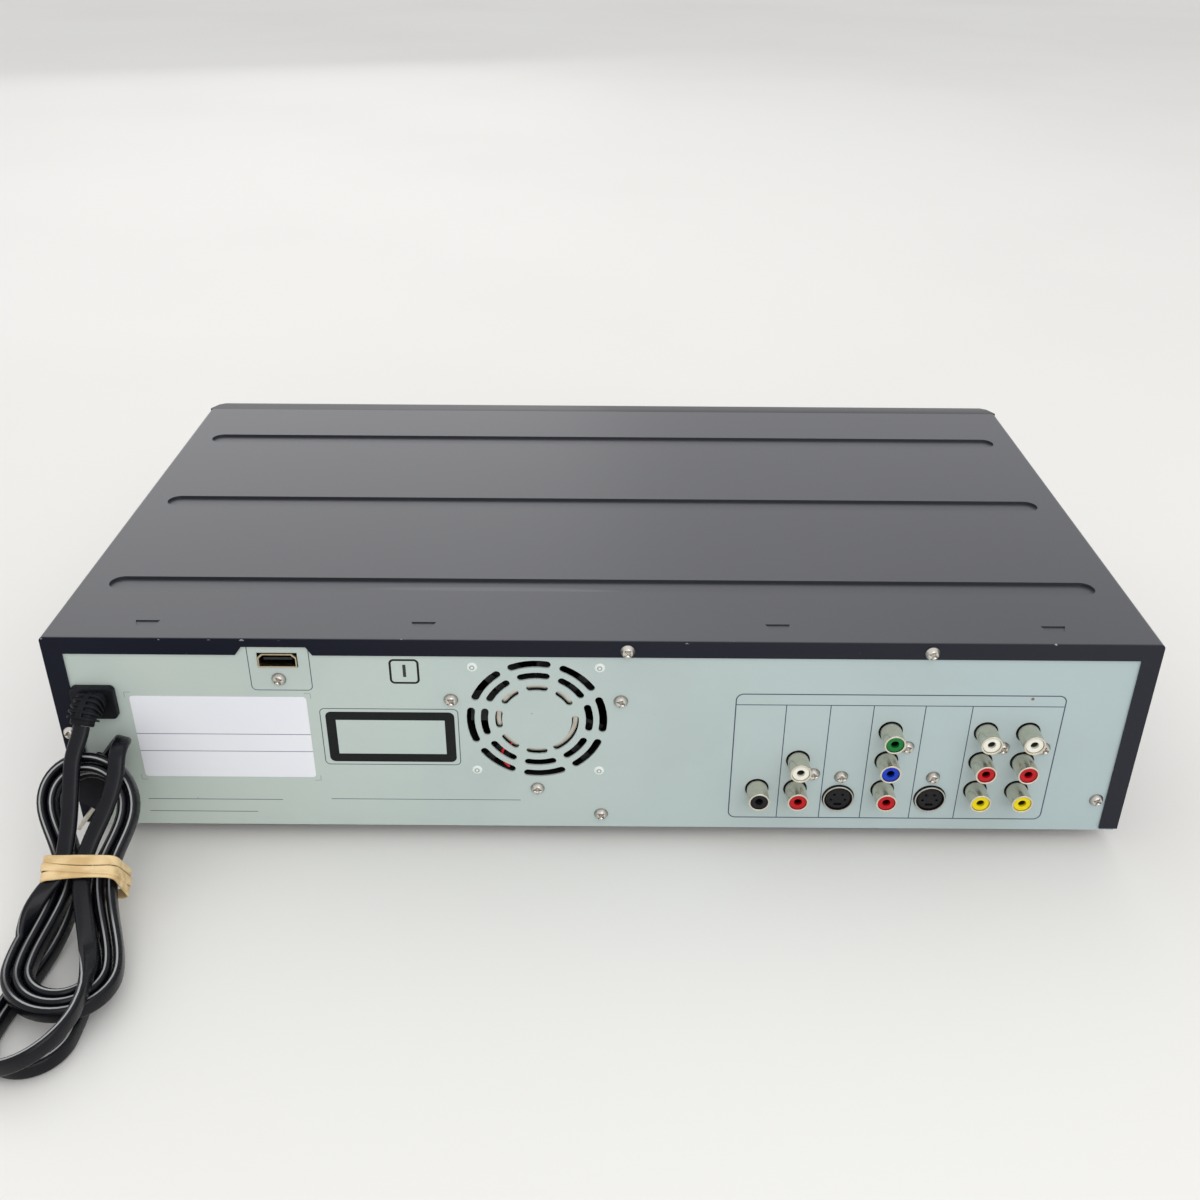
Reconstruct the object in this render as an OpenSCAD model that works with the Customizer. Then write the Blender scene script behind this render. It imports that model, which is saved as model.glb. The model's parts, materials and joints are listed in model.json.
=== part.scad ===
// Disc player and tape deck in one case, with its mains cord tied in a hank.
// Front towards -Y, rear panel towards +Y, floor at z = 0. Millimetres.

/* [Case] */
// Width of the case
case_w = 435; // [425:1:450]
// Height of the top of the case above the floor
case_h = 99.5; // [98:0.5:108]
// Depth of the sheet-metal cover
cover_d = 243.75; // [240:0.25:262]
// Depth of the front bezel
bezel_d = 18; // [17:0.5:22]
// Thickness of the cover's and the rear panel's sheet
sheet_t = 0.8; // [0.6:0.1:1.2]
// Thickness of the chassis sheet
chassis_t = 1; // [0.8:0.1:1.4]
// Gap left between pieces that lie side by side
fit_gap = 0.3; // [0.2:0.05:0.4]
// Height of the lower edge of the cover above the chassis underside
cover_lift = 1.25; // [1.2:0.05:1.6]

/* [Feet] */
// Height of a foot
foot_h = 7.5; // [6:0.5:10]
// Radius of a foot
foot_r = 14; // [10:0.5:18]
// Distance of a foot's centre from the case's sides
foot_in = 38; // [30:1:60]

/* [Cover] */
// Radius of the cover's long bends
bend_r = 1.6; // [1.3:0.1:3]
// Height of the rear flange along the top
top_flange = 7.35; // [6:0.05:9]
// Width of the rear flange down the sides
side_flange = 7.6; // [6:0.1:9]
// Width of a pressed groove
groove_w = 10.5; // [8:0.5:14]
// Depth of a pressed groove
groove_d = 1.2; // [0.8:0.1:1.6]
// Distance from a groove's end to the side of the case
groove_end = 12.5; // [8:0.5:40]
// Distance of the first groove from the rear edge
groove_1 = 44.5; // [35:0.5:60]
// Distance of the second groove from the rear edge
groove_2 = 124.5; // [100:0.5:150]
// Distance of the third groove from the rear edge
groove_3 = 201.5; // [180:0.5:220]
// Width of a lanced tab
lance_w = 9.7; // [7:0.1:12]

/* [Rear panel] */
// Depth of the panel's face behind the cover's rear edge
panel_recess = 0.9; // [0.9:0.1:2]
// Radius of a screw's head
screw_head_r = 3; // [2.5:0.1:3.4]
// Height of a screw's head
screw_head_h = 1.9; // [1.5:0.1:2.4]
// Radius of a screw's thread
screw_r = 1.4; // [1.2:0.1:1.6]
// Length of a screw's thread
screw_l = 5; // [4:0.5:7]

/* [Fan] */
// Side of the square fan
fan_side = 60; // [58:1:62]
// Depth of the fan
fan_d = 15; // [14:1:20]
// Distance between the fan's mounting holes
fan_pitch = 50; // [49:0.5:51]
// Distance of the fan's centre from the middle of the case
fan_x = 25.8; // [20:0.1:32]
// Distance of the fan's centre below the top of the case
fan_drop = 37.7; // [36.5:0.1:41.5]
// Radius of the fan's hub
fan_hub_r = 16.5; // [14:0.5:18]
// Number of blades
fan_blades = 7; // [5:1:9]

/* [Sockets] */
// Outer radius of a jack's barrel
barrel_r = 4.3; // [4:0.05:4.4]
// Wall of a jack's barrel
barrel_t = 0.7; // [0.5:0.05:0.8]
// Length of a barrel outside the panel
barrel_l = 9.5; // [8:0.5:11]
// Height of the lowest row of jacks
jack_z = 28.2; // [27.5:0.1:30]
// Distance between rows of jacks
jack_pitch = 14.6; // [14:0.1:15]
// Outer radius of a round video socket
svideo_r = 6.4; // [6:0.1:6.8]
// Height of the round video sockets
svideo_z = 23.65; // [23:0.05:25]
// Distance of the digital video socket from the cord's side of the case
hdmi_in = 90.9; // [86:0.1:95]
// Width of the digital video socket
hdmi_w = 15.2; // [14.5:0.1:16]
// Height of the digital video socket
hdmi_h = 6.1; // [5.6:0.1:6.4]

/* [Boards] */
// Thickness of a circuit board
board_t = 1.6; // [1.2:0.1:2]
// Height of the boards above the chassis floor
board_lift = 5.5; // [5:0.5:6]

/* [Tape deck] */
// Distance of the deck's middle from the side of the case
deck_in = 114; // [112:0.5:116]
// Height of the deck plate above the chassis floor
deck_lift = 25.5; // [25:0.5:26.5]
// Width of a tape cassette's slot
tape_w = 194; // [193:0.5:194.5]
// Height of the cassette door
door_h = 30.8; // [29.5:0.1:31.3]
// Distance of the cassette door's lower edge below the top of the case
door_drop = 42; // [41:0.5:42.5]
// Radius of the head drum
drum_r = 31; // [30:0.5:31]
// Tilt of the head drum
drum_tilt = 6; // [5:0.5:7]
// Radius of the capstan's flywheel
flywheel_r = 26; // [22:1:28]
// Travel of the cassette carriage
carriage_travel = 40; // [38:0.5:41]

/* [Disc drive] */
// Distance of the drive's middle from the side of the case
drive_in = 104; // [102:0.5:106]
// Distance of the drive's underside below the top of the case
drive_drop = 49.5; // [49:0.5:50]
// Width of the disc tray
tray_w = 140; // [136:1:142]
// Radius of the tray's recess for a disc
disc_r = 60.5; // [60.2:0.1:61.5]
// Travel of the disc tray
tray_travel = 136; // [130:1:137]
// Travel of the optical pickup
pickup_travel = 34; // [30:1:34]

/* [Front] */
// Wall of the bezel
bezel_t = 2.5; // [2:0.1:2.8]
// Height of the row of buttons
button_z = 34; // [32:0.5:36]
// Distance by which a button stands out of the bezel
button_proud = 0.8; // [0.5:0.1:1.2]
// Travel of a button
button_travel = 1; // [0.8:0.1:1]
// Width of a button
button_w = 16; // [12:0.5:18]
// Height of a button
button_h = 8; // [6:0.5:9]
// Width of the display window
window_w = 116; // [100:1:120]
// Height of the display window
window_h = 26; // [22:0.5:27]

/* [Cord] */
// Width of the flat mains cord
cord_w = 6.6; // [6.4:0.1:6.8]
// Thickness of the flat mains cord
cord_t = 3.4; // [3.2:0.1:3.5]
// Step from one loop of the hank to the next
hank_step = 4.1; // [4:0.05:4.2]
// Radius of the hank's outer fold
hank_r = 21.5; // [21.3:0.1:21.8]

/* [Hidden] */
$fn = 48;
eps = 0.01;
half_w = case_w / 2;

// Planes from the rear to the front
total_d = cover_d + bezel_d + button_proud + barrel_l - panel_recess;
rear_y = total_d / 2 - barrel_l + panel_recess;
panel_y = rear_y - panel_recess;
panel_in_y = panel_y - sheet_t;
front_y = rear_y - cover_d;
face_y = front_y - bezel_d;

// Planes from the floor up
floor_z = foot_h + chassis_t;
cover_z = foot_h + cover_lift;
roof_z = case_h - sheet_t;
board_z = floor_z + board_lift;
board_top = board_z + board_t;
inner_half = half_w - sheet_t - fit_gap;
fan_z = case_h - fan_drop;
door_z = case_h - door_drop;

// Holes round screws
screw_hole_r = screw_r + 0.25;

// Screws: [x, z], the x of each measured from the middle, as the panel's own pattern
cover_screws_at = [[-10, 0], [-128.1, 0]];
cover_screw_z = case_h - 4.5;
side_screw_at = [half_w - 3.6, 54.65];
bracket_ears = [[34, 9.5], [-33.5, 9.3], [0.4, -34.3]];
chassis_tabs = [[-0.2, 14.2], [-half_w + 11.4, 23.4]];
socket_screws = [[-87.2, 35.8], [-124.2, 49.7], [-162.8, 49.7], [-179.4, 49.5],
    [-98.9, 34.5], [-136.7, 34.5]];

// Sockets, from the side of the case that is away from the cord
jack_side = -half_w;
jacks = [
    [152.9, 0, "black"],
    [137.1, 1, "white"], [137.1, 0, "red"],
    [101, 2, "green"], [101, 1, "blue"], [101, 0, "red"],
    [62.6, 2, "white"], [62.6, 1, "red"], [62.6, 0, "yellow"],
    [45.6, 2, "white"], [45.6, 1, "red"], [45.6, 0, "yellow"]
];
jack_columns = [[152.9, 0], [137.1, 1], [101, 2], [62.6, 2], [45.6, 2]];
svideo_at = [118.9, 80.8];
jack_block_w = 11;
jack_block_d = 12;
hdmi_x = half_w - hdmi_in;
hdmi_z = case_h - 10.1;

// ---- Shapes that several pieces use ----

// A box between two corners
module block(low, high) {
    translate(low)
        cube(high - low);
}

// Two blocks, one each side of x, between the same distances from it
module sides(x, near, far, y, z) {
    block([x + near, y[0], z[0]], [x + far, y[1], z[1]]);
    block([x - far, y[0], z[0]], [x - near, y[1], z[1]]);
}

// A drawing in x and z, made a slab from y to y + t
module upright(y, t) {
    translate([0, y + t, 0])
        rotate([90, 0, 0])
            linear_extrude(t)
                children();
}

// A round bar along y
module bar_y(x, y, z, r, l) {
    translate([x, y, z])
        rotate([-90, 0, 0])
            cylinder(r = r, h = l);
}

// A round bar along x
module bar_x(x, y, z, r, l) {
    translate([x, y, z])
        rotate([0, 90, 0])
            cylinder(r = r, h = l);
}

module rounded(size, r) {
    w = size[0];
    h = size[1];
    square([w - 2 * r, h], center = true);
    square([w, h - 2 * r], center = true);
    for (i = [-1, 1], j = [-1, 1])
        translate([i * (w / 2 - r), j * (h / 2 - r)])
            circle(r);
}

module stadium(l, w) {
    square([l - w, w], center = true);
    for (i = [-1, 1])
        translate([i * (l - w) / 2, 0])
            circle(w / 2);
}

// A round post with an optional bore
module post(x, y, low, high, r, bore = 0) {
    translate([x, y, low])
        difference() {
            cylinder(r = r, h = high - low);
            if (bore > 0)
                translate([0, 0, -1])
                    cylinder(r = bore, h = high - low + 2);
        }
}

// ---- Case ----

chassis_wall = 13;
chassis_lip = 4;
tab_w = 12;
deck_x = -half_w + deck_in;
deck_y = front_y + 25;
deck_z = floor_z + deck_lift;
deck_top = deck_z + chassis_t;
deck_half = tape_w / 2 + 0.6;
deck_len = 182;
drive_x = half_w - drive_in;
drive_y = front_y + 6;
drive_z = case_h - drive_drop;
drive_len = 180;
drive_half = tray_w / 2 + 4;
board_post_r = 3;
deck_post_r = 4;
main_board_x = [-half_w + 10, -5];
main_board_y = [front_y + 12, panel_in_y - chassis_t - fit_gap];
power_board_x = [half_w - 155, half_w - 42];
power_board_y = [rear_y - 122, rear_y - 12];
deck_posts = corners([deck_x - deck_half, deck_x + deck_half], [deck_y, deck_y + deck_len], 7, 12);
drive_posts = corners([drive_x - drive_half, drive_x + drive_half], [drive_y, drive_y + drive_len], 4, 10);
main_posts = corners(main_board_x, main_board_y, 6, 30);
power_posts = corners(power_board_x, power_board_y, 5, 6);

// Four places inside a rectangle's corners
function corners(x, y, in_x, in_y) =
    [for (i = [x[0] + in_x, x[1] - in_x], j = [y[0] + in_y, y[1] - in_y]) [i, j]];

module bottom_chassis() {
    color("silver") {
        difference() {
            block([-inner_half, front_y, foot_h], [inner_half, panel_in_y, floor_z]);
            // cooling slots under the power board
            y = power_board_y;
            for (i = [0:7])
                translate([power_board_x[0] + 12 + i * 12, (y[0] + y[1]) / 2, foot_h - 1])
                    linear_extrude(chassis_t + 2)
                        rotate(90)
                            stadium((y[1] - y[0]) / 2, 4);
        }
        sides(0, inner_half - chassis_t, inner_half, [front_y + 3, panel_in_y - 3],
            [floor_z - eps, floor_z + chassis_wall]);
        block([-inner_half + 3, front_y, floor_z - eps],
            [inner_half - 3, front_y + chassis_t, floor_z + chassis_lip]);
        // rear tabs that take the panel's screws
        difference() {
            for (p = chassis_tabs)
                block([p[0] - tab_w / 2 + (p[0] < -tab_w ? 3 : 0), panel_in_y - chassis_t, floor_z - eps],
                    [p[0] + tab_w / 2, panel_in_y, p[1] + 5]);
            for (p = chassis_tabs)
                bar_y(p[0], panel_in_y - 3, p[1], screw_hole_r, 6);
        }
        for (p = concat(main_posts, power_posts))
            post(p[0], p[1], floor_z - eps, board_z, board_post_r);
        for (p = deck_posts)
            post(p[0], p[1], floor_z - eps, deck_z, deck_post_r);
        for (p = drive_posts)
            post(p[0], p[1], floor_z - eps, drive_z, deck_post_r);
    }
}

module cover_outline(in) {
    w = case_w - 2 * in;
    h = case_h - cover_z - in;
    r = bend_r - in;
    translate([-w / 2, cover_z]) {
        square([w, h - r]);
        translate([r, 0])
            square([w - 2 * r, h]);
        for (x = [r, w - r])
            translate([x, h - r])
                circle(r);
    }
}

// The flange's opening, with its notch over the digital video socket
module flange_opening() {
    top = case_h - top_flange;
    x = half_w - side_flange;
    notch_foot = 15;
    notch_head = 12.5;
    notch_h = 3.7;
    translate([-x, cover_z - 1])
        square([2 * x, top - cover_z + 1]);
    polygon([[hdmi_x + 0.9 - notch_foot, top - eps], [hdmi_x + 0.9 + notch_foot, top - eps],
        [hdmi_x + 0.7 + notch_head, top + notch_h], [hdmi_x + 0.7 - notch_head, top + notch_h]]);
    translate(chassis_tabs[1])
        circle(screw_head_r + 0.6);
}

groove_len = case_w - 2 * groove_end;
lances = [179.3, 70.4, -69.3, -178];
lance_in = 11.8;
lance_d = 4;

module top_cover() {
    color([0.16, 0.16, 0.17])
        difference() {
            union() {
                upright(front_y, cover_d)
                    difference() {
                        cover_outline(0);
                        translate([0, -eps])
                            cover_outline(sheet_t);
                        translate([-inner_half, cover_z - 1])
                            square([2 * inner_half, 2]);
                    }
                upright(rear_y - sheet_t, sheet_t)
                    difference() {
                        cover_outline(0);
                        flange_opening();
                    }
                for (y = [groove_1, groove_2, groove_3])
                    translate([0, rear_y - y, roof_z - groove_d])
                        linear_extrude(groove_d + eps)
                            stadium(groove_len + 2 * sheet_t, groove_w + 2 * sheet_t);
            }
            for (y = [groove_1, groove_2, groove_3])
                translate([0, rear_y - y, case_h - groove_d])
                    linear_extrude(groove_d + 1)
                        stadium(groove_len, groove_w);
            // lanced tabs, wider towards the front
            for (x = lances)
                translate([x, rear_y - lance_in, case_h - sheet_t * 0.6])
                    linear_extrude(2)
                        polygon([[-lance_w / 2, -lance_d / 2], [lance_w / 2, -lance_d / 2],
                            [lance_w * 0.36, lance_d / 2], [-lance_w * 0.36, lance_d / 2]]);
            for (p = cover_screws_at)
                bar_y(p[0], rear_y - 3, cover_screw_z, screw_hole_r, 6);
            bar_y(side_screw_at[0], rear_y - 3, side_screw_at[1], screw_hole_r, 6);
        }
}

// Directions on the panel, turned from straight up towards +X
function clock(r, a) = [r * sin(a), r * cos(a)];

module arc_slot(r, w, from, to) {
    reach = 2 * r;
    difference() {
        intersection() {
            circle(r + w / 2);
            polygon([[0, 0], clock(reach, from), clock(reach, (from + to) / 2), clock(reach, to)]);
        }
        circle(r - w / 2);
    }
    // a round end is a hair narrower than the slot, so that it meets the slot's sides cleanly
    for (a = [from, to])
        translate(clock(r, a))
            circle(w / 2 - 0.03);
}

// Three rings of round-ended slots; two of the inner ones run into one
slot_r = [26.6, 21.1, 15.4];

module fan_slots() {
    for (i = [0:7]) {
        arc_slot(slot_r[0], 3.2, 6 + 45 * i - 15.25, 6 + 45 * i + 15.25);
        arc_slot(slot_r[1], 3, 3 + 45 * i - 13.75, 3 + 45 * i + 13.75);
        if (i != 5 && i != 6)
            arc_slot(slot_r[2], 2.8, 45 * i - 12, 45 * i + 10);
    }
    arc_slot(slot_r[2], 2.8, 210, 273);
}

gland_x = half_w - 16.5;
gland_z = 70.1;
gland_w = 2 * (half_w - side_flange - fit_gap - gland_x);
gland_h = 14.7;
gland_neck = [12, 9];

module panel_pattern() {
    translate([fan_x, fan_z]) {
        fan_slots();
        for (p = bracket_ears)
            translate(p)
                circle(screw_hole_r);
    }
    for (j = jacks)
        translate([jack_side + j[0], jack_z + j[1] * jack_pitch])
            circle(barrel_r + 2 * fit_gap);
    for (x = svideo_at)
        translate([jack_side + x, svideo_z])
            circle(svideo_r + fit_gap);
    for (p = concat(socket_screws, chassis_tabs))
        translate(p)
            circle(screw_hole_r);
    for (p = cover_screws_at)
        translate([p[0], cover_screw_z])
            circle(screw_hole_r);
    translate(side_screw_at)
        circle(screw_hole_r);
    translate([hdmi_x, hdmi_z])
        square([hdmi_w + 2 * fit_gap, hdmi_h + 2 * fit_gap], center = true);
    translate([hdmi_x + 0.4, hdmi_z - hdmi_drop])
        circle(screw_hole_r);
    translate([gland_x, gland_z])
        square(gland_neck + [2 * fit_gap, 2 * fit_gap], center = true);
}

module rear_panel() {
    color([0.72, 0.77, 0.75]) {
        upright(panel_in_y, sheet_t)
            difference() {
                translate([-inner_half, foot_h])
                    square([2 * inner_half, roof_z - fit_gap - foot_h]);
                panel_pattern();
            }
        // dimples pressed over the fan's own mounting holes
        for (i = [-1, 1], j = [-1, 1])
            translate([fan_x + i * fan_pitch / 2, panel_y - eps, fan_z + j * fan_pitch / 2])
                rotate([-90, 0, 0])
                    cylinder(r1 = 1.7, r2 = 1.2, h = 0.35);
    }
}

// Plan of the bezel's corner, from the cover forwards, at a depth inside its skin
function bezel_plan(in) = [
    [half_w - in, 1], [half_w - in, in - 1.5], [half_w - 3 - in, in - 7], [half_w - 7 - in, in - 9.5],
    [half_w - 11 - in, in - 14], [half_w - 14.5 - in, in - bezel_d]
];

module bezel_body(in) {
    corner = bezel_plan(in);
    other = [for (i = [len(corner) - 1:-1:0]) [-corner[i][0], corner[i][1]]];
    top = case_h - in;
    bottom = foot_h + in;
    translate([0, front_y, 0])
        intersection() {
            translate([0, 0, bottom])
                linear_extrude(top - bottom)
                    polygon(concat(corner, other));
            rotate([90, 0, 90])
                translate([0, 0, -half_w])
                    linear_extrude(case_w)
                        polygon([[1, bottom], [in - bezel_d + 3, bottom], [in - bezel_d, bottom + 4],
                            [in - bezel_d, top - 9.5], [in - bezel_d + 1.5, top - 5.5],
                            [in - bezel_d + 5, top - 2], [in - bezel_d + 9, top], [1, top]]);
        }
}

door_top = door_z + door_h;
door_half = tape_w / 2 - 0.5;
door_axis = [face_y + 3.2, door_top - 1.8];
door_pin_r = 1.3;
door_pin_l = 3;
fascia_w = tray_w + 12;
fascia_h = 14.5;
fascia_z = drive_z + 16;
window_z = button_z;
pocket_x = [half_w - 67.5, half_w - 21.5];
pocket_z = [18, 43];
pocket_d = 9;
front_jack_z = 29;
front_jack_at = [for (i = [0:2]) pocket_x[0] + 9 + 14 * i];
button_step = button_w + 6;
button_at = concat([for (i = [0:4]) -half_w + 27.5 + (i > 0 ? 8 : 0) + i * button_step],
    [for (i = [0:2]) window_w / 2 + 14 + i * button_step]);
screen_posts = [[-half_w + 37.5, 20], [-window_w / 2 - 17, 44],
    [window_w / 2 + 17, 20], [half_w - 77.5, 44]];
front_board_y = face_y + 12;

module bezel_openings() {
    // cassette slot, disc tray, display window
    translate([deck_x - tape_w / 2, door_z - 0.4])
        square([tape_w, door_h + 0.8]);
    translate([drive_x - fascia_w / 2 - 0.5, fascia_z - 0.5])
        square([fascia_w + 1, fascia_h + 1]);
    translate([0, window_z])
        square([window_w, window_h], center = true);
    for (x = button_at)
        translate([x, button_z])
            rounded([button_w + 2 * fit_gap, button_h + 2 * fit_gap], 1.5);
}

module front_bezel() {
    ear_l = 3.5;
    color([0.07, 0.07, 0.08])
        difference() {
            union() {
                difference() {
                    bezel_body(0);
                    bezel_body(bezel_t);
                    block([-half_w - 1, front_y, 0], [half_w + 1, front_y + 5, case_h + 1]);
                }
                // ears for the door's pins
                for (i = [-1, 1])
                    translate([deck_x + i * (tape_w / 2 + ear_l / 2), face_y + bezel_t + 3, door_axis[1]])
                        cube([ear_l, 6 + 2 * eps, 7], center = true);
                block([pocket_x[0] - 2, face_y + bezel_t - eps, pocket_z[0] - 2],
                    [pocket_x[1] + 2, face_y + pocket_d + 2, pocket_z[1] + 2]);
                for (p = screen_posts)
                    bar_y(p[0], face_y + bezel_t - eps, p[1], 3, front_board_y - face_y - bezel_t + eps);
            }
            upright(face_y - 1, bezel_t + 1 + eps)
                bezel_openings();
            // room for the door's lugs
            block([deck_x - tape_w / 2, face_y, door_z - 0.4],
                [deck_x + tape_w / 2, front_y - 6, door_top + 0.4]);
            block([pocket_x[0], face_y - 1, pocket_z[0]], [pocket_x[1], face_y + pocket_d, pocket_z[1]]);
            for (x = front_jack_at)
                bar_y(x, face_y, front_jack_z, barrel_r + fit_gap, pocket_d + 5);
            bar_x(deck_x - tape_w / 2 - door_pin_l - 0.2, door_axis[0], door_axis[1], door_pin_r + 0.1,
                tape_w + 2 * door_pin_l + 0.4);
        }
}

module display_window() {
    color([0.03, 0.03, 0.05]) {
        upright(face_y + 0.3, bezel_t - 0.3 + eps)
            translate([0, window_z])
                square([window_w - 0.4, window_h - 0.4], center = true);
        upright(face_y + bezel_t, 1)
            translate([0, window_z])
                square([window_w + 5, window_h + 4], center = true);
    }
}

module feet() {
    color([0.08, 0.08, 0.08])
        for (i = [-1, 1], y = [front_y + foot_in, rear_y - foot_in])
            translate([i * (half_w - foot_in), y, 0])
                difference() {
                    union() {
                        cylinder(r1 = foot_r - 1, r2 = foot_r, h = 2);
                        translate([0, 0, 2 - eps])
                            cylinder(r = foot_r, h = foot_h - 2 + eps);
                    }
                    translate([0, 0, -1])
                        cylinder(r = 4, h = 4);
                }
}

// A pan-head screw along y, its head's underside at the origin and its thread towards -y
module screw(l = screw_l) {
    brim = screw_head_h * 0.45;
    rotate([-90, 0, 0]) {
        difference() {
            union() {
                cylinder(r = screw_head_r, h = brim);
                translate([0, 0, brim - eps])
                    cylinder(r1 = screw_head_r, r2 = screw_head_r * 0.62, h = screw_head_h - brim + eps);
            }
            for (a = [45, 135])
                rotate(a)
                    translate([-screw_head_r * 0.6, -0.35, screw_head_h * 0.45])
                        cube([screw_head_r * 1.2, 0.7, screw_head_h]);
        }
        translate([0, 0, -l])
            cylinder(r = screw_r, h = l + eps);
    }
}

module cover_screws() {
    color("silver") {
        for (p = cover_screws_at)
            translate([p[0], rear_y, cover_screw_z])
                screw();
        translate([side_screw_at[0], rear_y, side_screw_at[1]])
            screw();
    }
}

module panel_screws() {
    color("silver") {
        for (p = bracket_ears)
            translate([fan_x + p[0], panel_y, fan_z + p[1]])
                screw(3);
        for (p = concat(chassis_tabs, socket_screws))
            translate([p[0], panel_y, p[1]])
                screw();
        translate([hdmi_x + 0.4, panel_y, hdmi_z - hdmi_drop])
            screw(3);
    }
}

// ---- Fan ----

bracket_t = 1;
bracket_side = fan_side + 5;
fan_y = panel_in_y - bracket_t;
fan_bore_r = fan_side / 2 - 1.5;
rotor_gap = 1.2;
stator_t = 2;
rotor_y = fan_y - stator_t - rotor_gap;
rotor_l = fan_d - 2 * rotor_gap - stator_t;

module fan_bracket() {
    color("silver")
        upright(panel_in_y - bracket_t, bracket_t)
            translate([fan_x, fan_z])
                difference() {
                    union() {
                        rounded([bracket_side, bracket_side - 2], 4);
                        for (p = bracket_ears)
                            translate(p)
                                circle(4.5);
                    }
                    circle(fan_bore_r + 0.5);
                    for (p = bracket_ears)
                        translate(p)
                            circle(screw_hole_r);
                }
}

module fan_frame() {
    color([0.1, 0.1, 0.1]) {
        upright(fan_y - fan_d, fan_d)
            translate([fan_x, fan_z])
                difference() {
                    rounded([fan_side, fan_side], 4);
                    circle(fan_bore_r);
                    for (i = [-1, 1], j = [-1, 1])
                        translate([i * fan_pitch / 2, j * fan_pitch / 2])
                            circle(2.1);
                }
        upright(fan_y - stator_t, stator_t)
            translate([fan_x, fan_z])
                difference() {
                    union() {
                        circle(fan_hub_r);
                        for (a = [45:90:315])
                            rotate(a)
                                translate([fan_hub_r - 1, -2])
                                    square([fan_bore_r - fan_hub_r + 2, 4]);
                    }
                    circle(1.55);
                }
    }
}

module fan_rotor() {
    color([0.2, 0.2, 0.21]) {
        bar_y(fan_x, rotor_y - rotor_l, fan_z, fan_hub_r, rotor_l);
        bar_y(fan_x, rotor_y - 1, fan_z, 1.5, rotor_gap + stator_t + 0.7);
        translate([fan_x, rotor_y - rotor_l / 2, fan_z])
            rotate([-90, 0, 0])
                for (i = [0:fan_blades - 1])
                    rotate(360 / fan_blades * i)
                        translate([fan_hub_r - 1.5, 0, 0])
                            rotate([38, 0, 0])
                                translate([0, -6.2, -0.7])
                                    cube([fan_bore_r - fan_hub_r + 0.3, 12.4, 1.4]);
    }
}

// ---- Sockets ----

hdmi_wall = 0.5;
hdmi_d = 11;
hdmi_drop = 8.8;

module hdmi_outline(in) {
    w = hdmi_w - 2 * in;
    h = hdmi_h - 2 * in;
    cut = 1.6;
    polygon([[-w / 2, -h / 2], [w / 2, -h / 2], [w / 2, h / 2 - cut], [w / 2 - cut, h / 2],
        [-w / 2 + cut, h / 2], [-w / 2, h / 2 - cut]]);
}

module hdmi_socket() {
    color([0.75, 0.72, 0.66]) {
        upright(panel_in_y - hdmi_d, hdmi_d + sheet_t + 0.6)
            translate([hdmi_x, hdmi_z])
                difference() {
                    hdmi_outline(0);
                    hdmi_outline(hdmi_wall);
                }
        upright(panel_in_y - hdmi_d, 1)
            translate([hdmi_x, hdmi_z])
                hdmi_outline(hdmi_wall - 0.1);
        block([hdmi_x - 5.6, panel_in_y - hdmi_d + 0.5, hdmi_z - 0.4],
            [hdmi_x + 5.6, panel_y - 1, hdmi_z + 0.7]);
        upright(panel_in_y - 0.8, 0.8)
            difference() {
                translate([hdmi_x - hdmi_w / 2, hdmi_z - hdmi_drop - 3.5])
                    square([hdmi_w, hdmi_drop + 3.5 - hdmi_h / 2 + 0.2]);
                translate([hdmi_x + 0.4, hdmi_z - hdmi_drop])
                    circle(screw_hole_r);
            }
    }
}

module at_jacks(colour) {
    for (j = jacks)
        if (j[2] == colour)
            translate([jack_side + j[0], panel_in_y, jack_z + j[1] * jack_pitch])
                children();
}

module jack_barrels() {
    color([0.82, 0.78, 0.7])
        for (j = jacks)
            translate([jack_side + j[0], panel_in_y, jack_z + j[1] * jack_pitch])
                rotate([-90, 0, 0])
                    difference() {
                        union() {
                            cylinder(r = barrel_r, h = sheet_t + barrel_l);
                            // collar in the panel's hole
                            cylinder(r = barrel_r + fit_gap, h = sheet_t + 0.1);
                        }
                        translate([0, 0, -1])
                            cylinder(r = barrel_r - barrel_t, h = sheet_t + barrel_l + 2);
                    }
}

insert_short = 0.5;
pin_hole_r = 1.6;

module jack_insert() {
    rotate([-90, 0, 0])
        difference() {
            cylinder(r = barrel_r - barrel_t - 0.1, h = sheet_t + barrel_l - insert_short);
            translate([0, 0, 2])
                cylinder(r = pin_hole_r, h = barrel_l);
        }
}

module jack_blocks() {
    color([0.1, 0.1, 0.1]) {
        difference() {
            for (c = jack_columns)
                block([jack_side + c[0] - jack_block_w / 2, panel_in_y - jack_block_d, board_top],
                    [jack_side + c[0] + jack_block_w / 2, panel_in_y, jack_z + c[1] * jack_pitch + 6.5]);
            for (p = socket_screws)
                bar_y(p[0], panel_in_y - screw_l - 2, p[1], screw_hole_r, screw_l + 3);
        }
        at_jacks("black")
            jack_insert();
    }
}

module coloured_inserts(colour) {
    color(colour)
        at_jacks(colour)
            jack_insert();
}

module jack_inserts_white() {
    coloured_inserts("white");
}

module jack_inserts_red() {
    coloured_inserts("red");
}

module jack_inserts_yellow() {
    coloured_inserts("yellow");
}

module jack_insert_green() {
    coloured_inserts("green");
}

module jack_insert_blue() {
    coloured_inserts("blue");
}

svideo_wall = 0.6;

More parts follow.
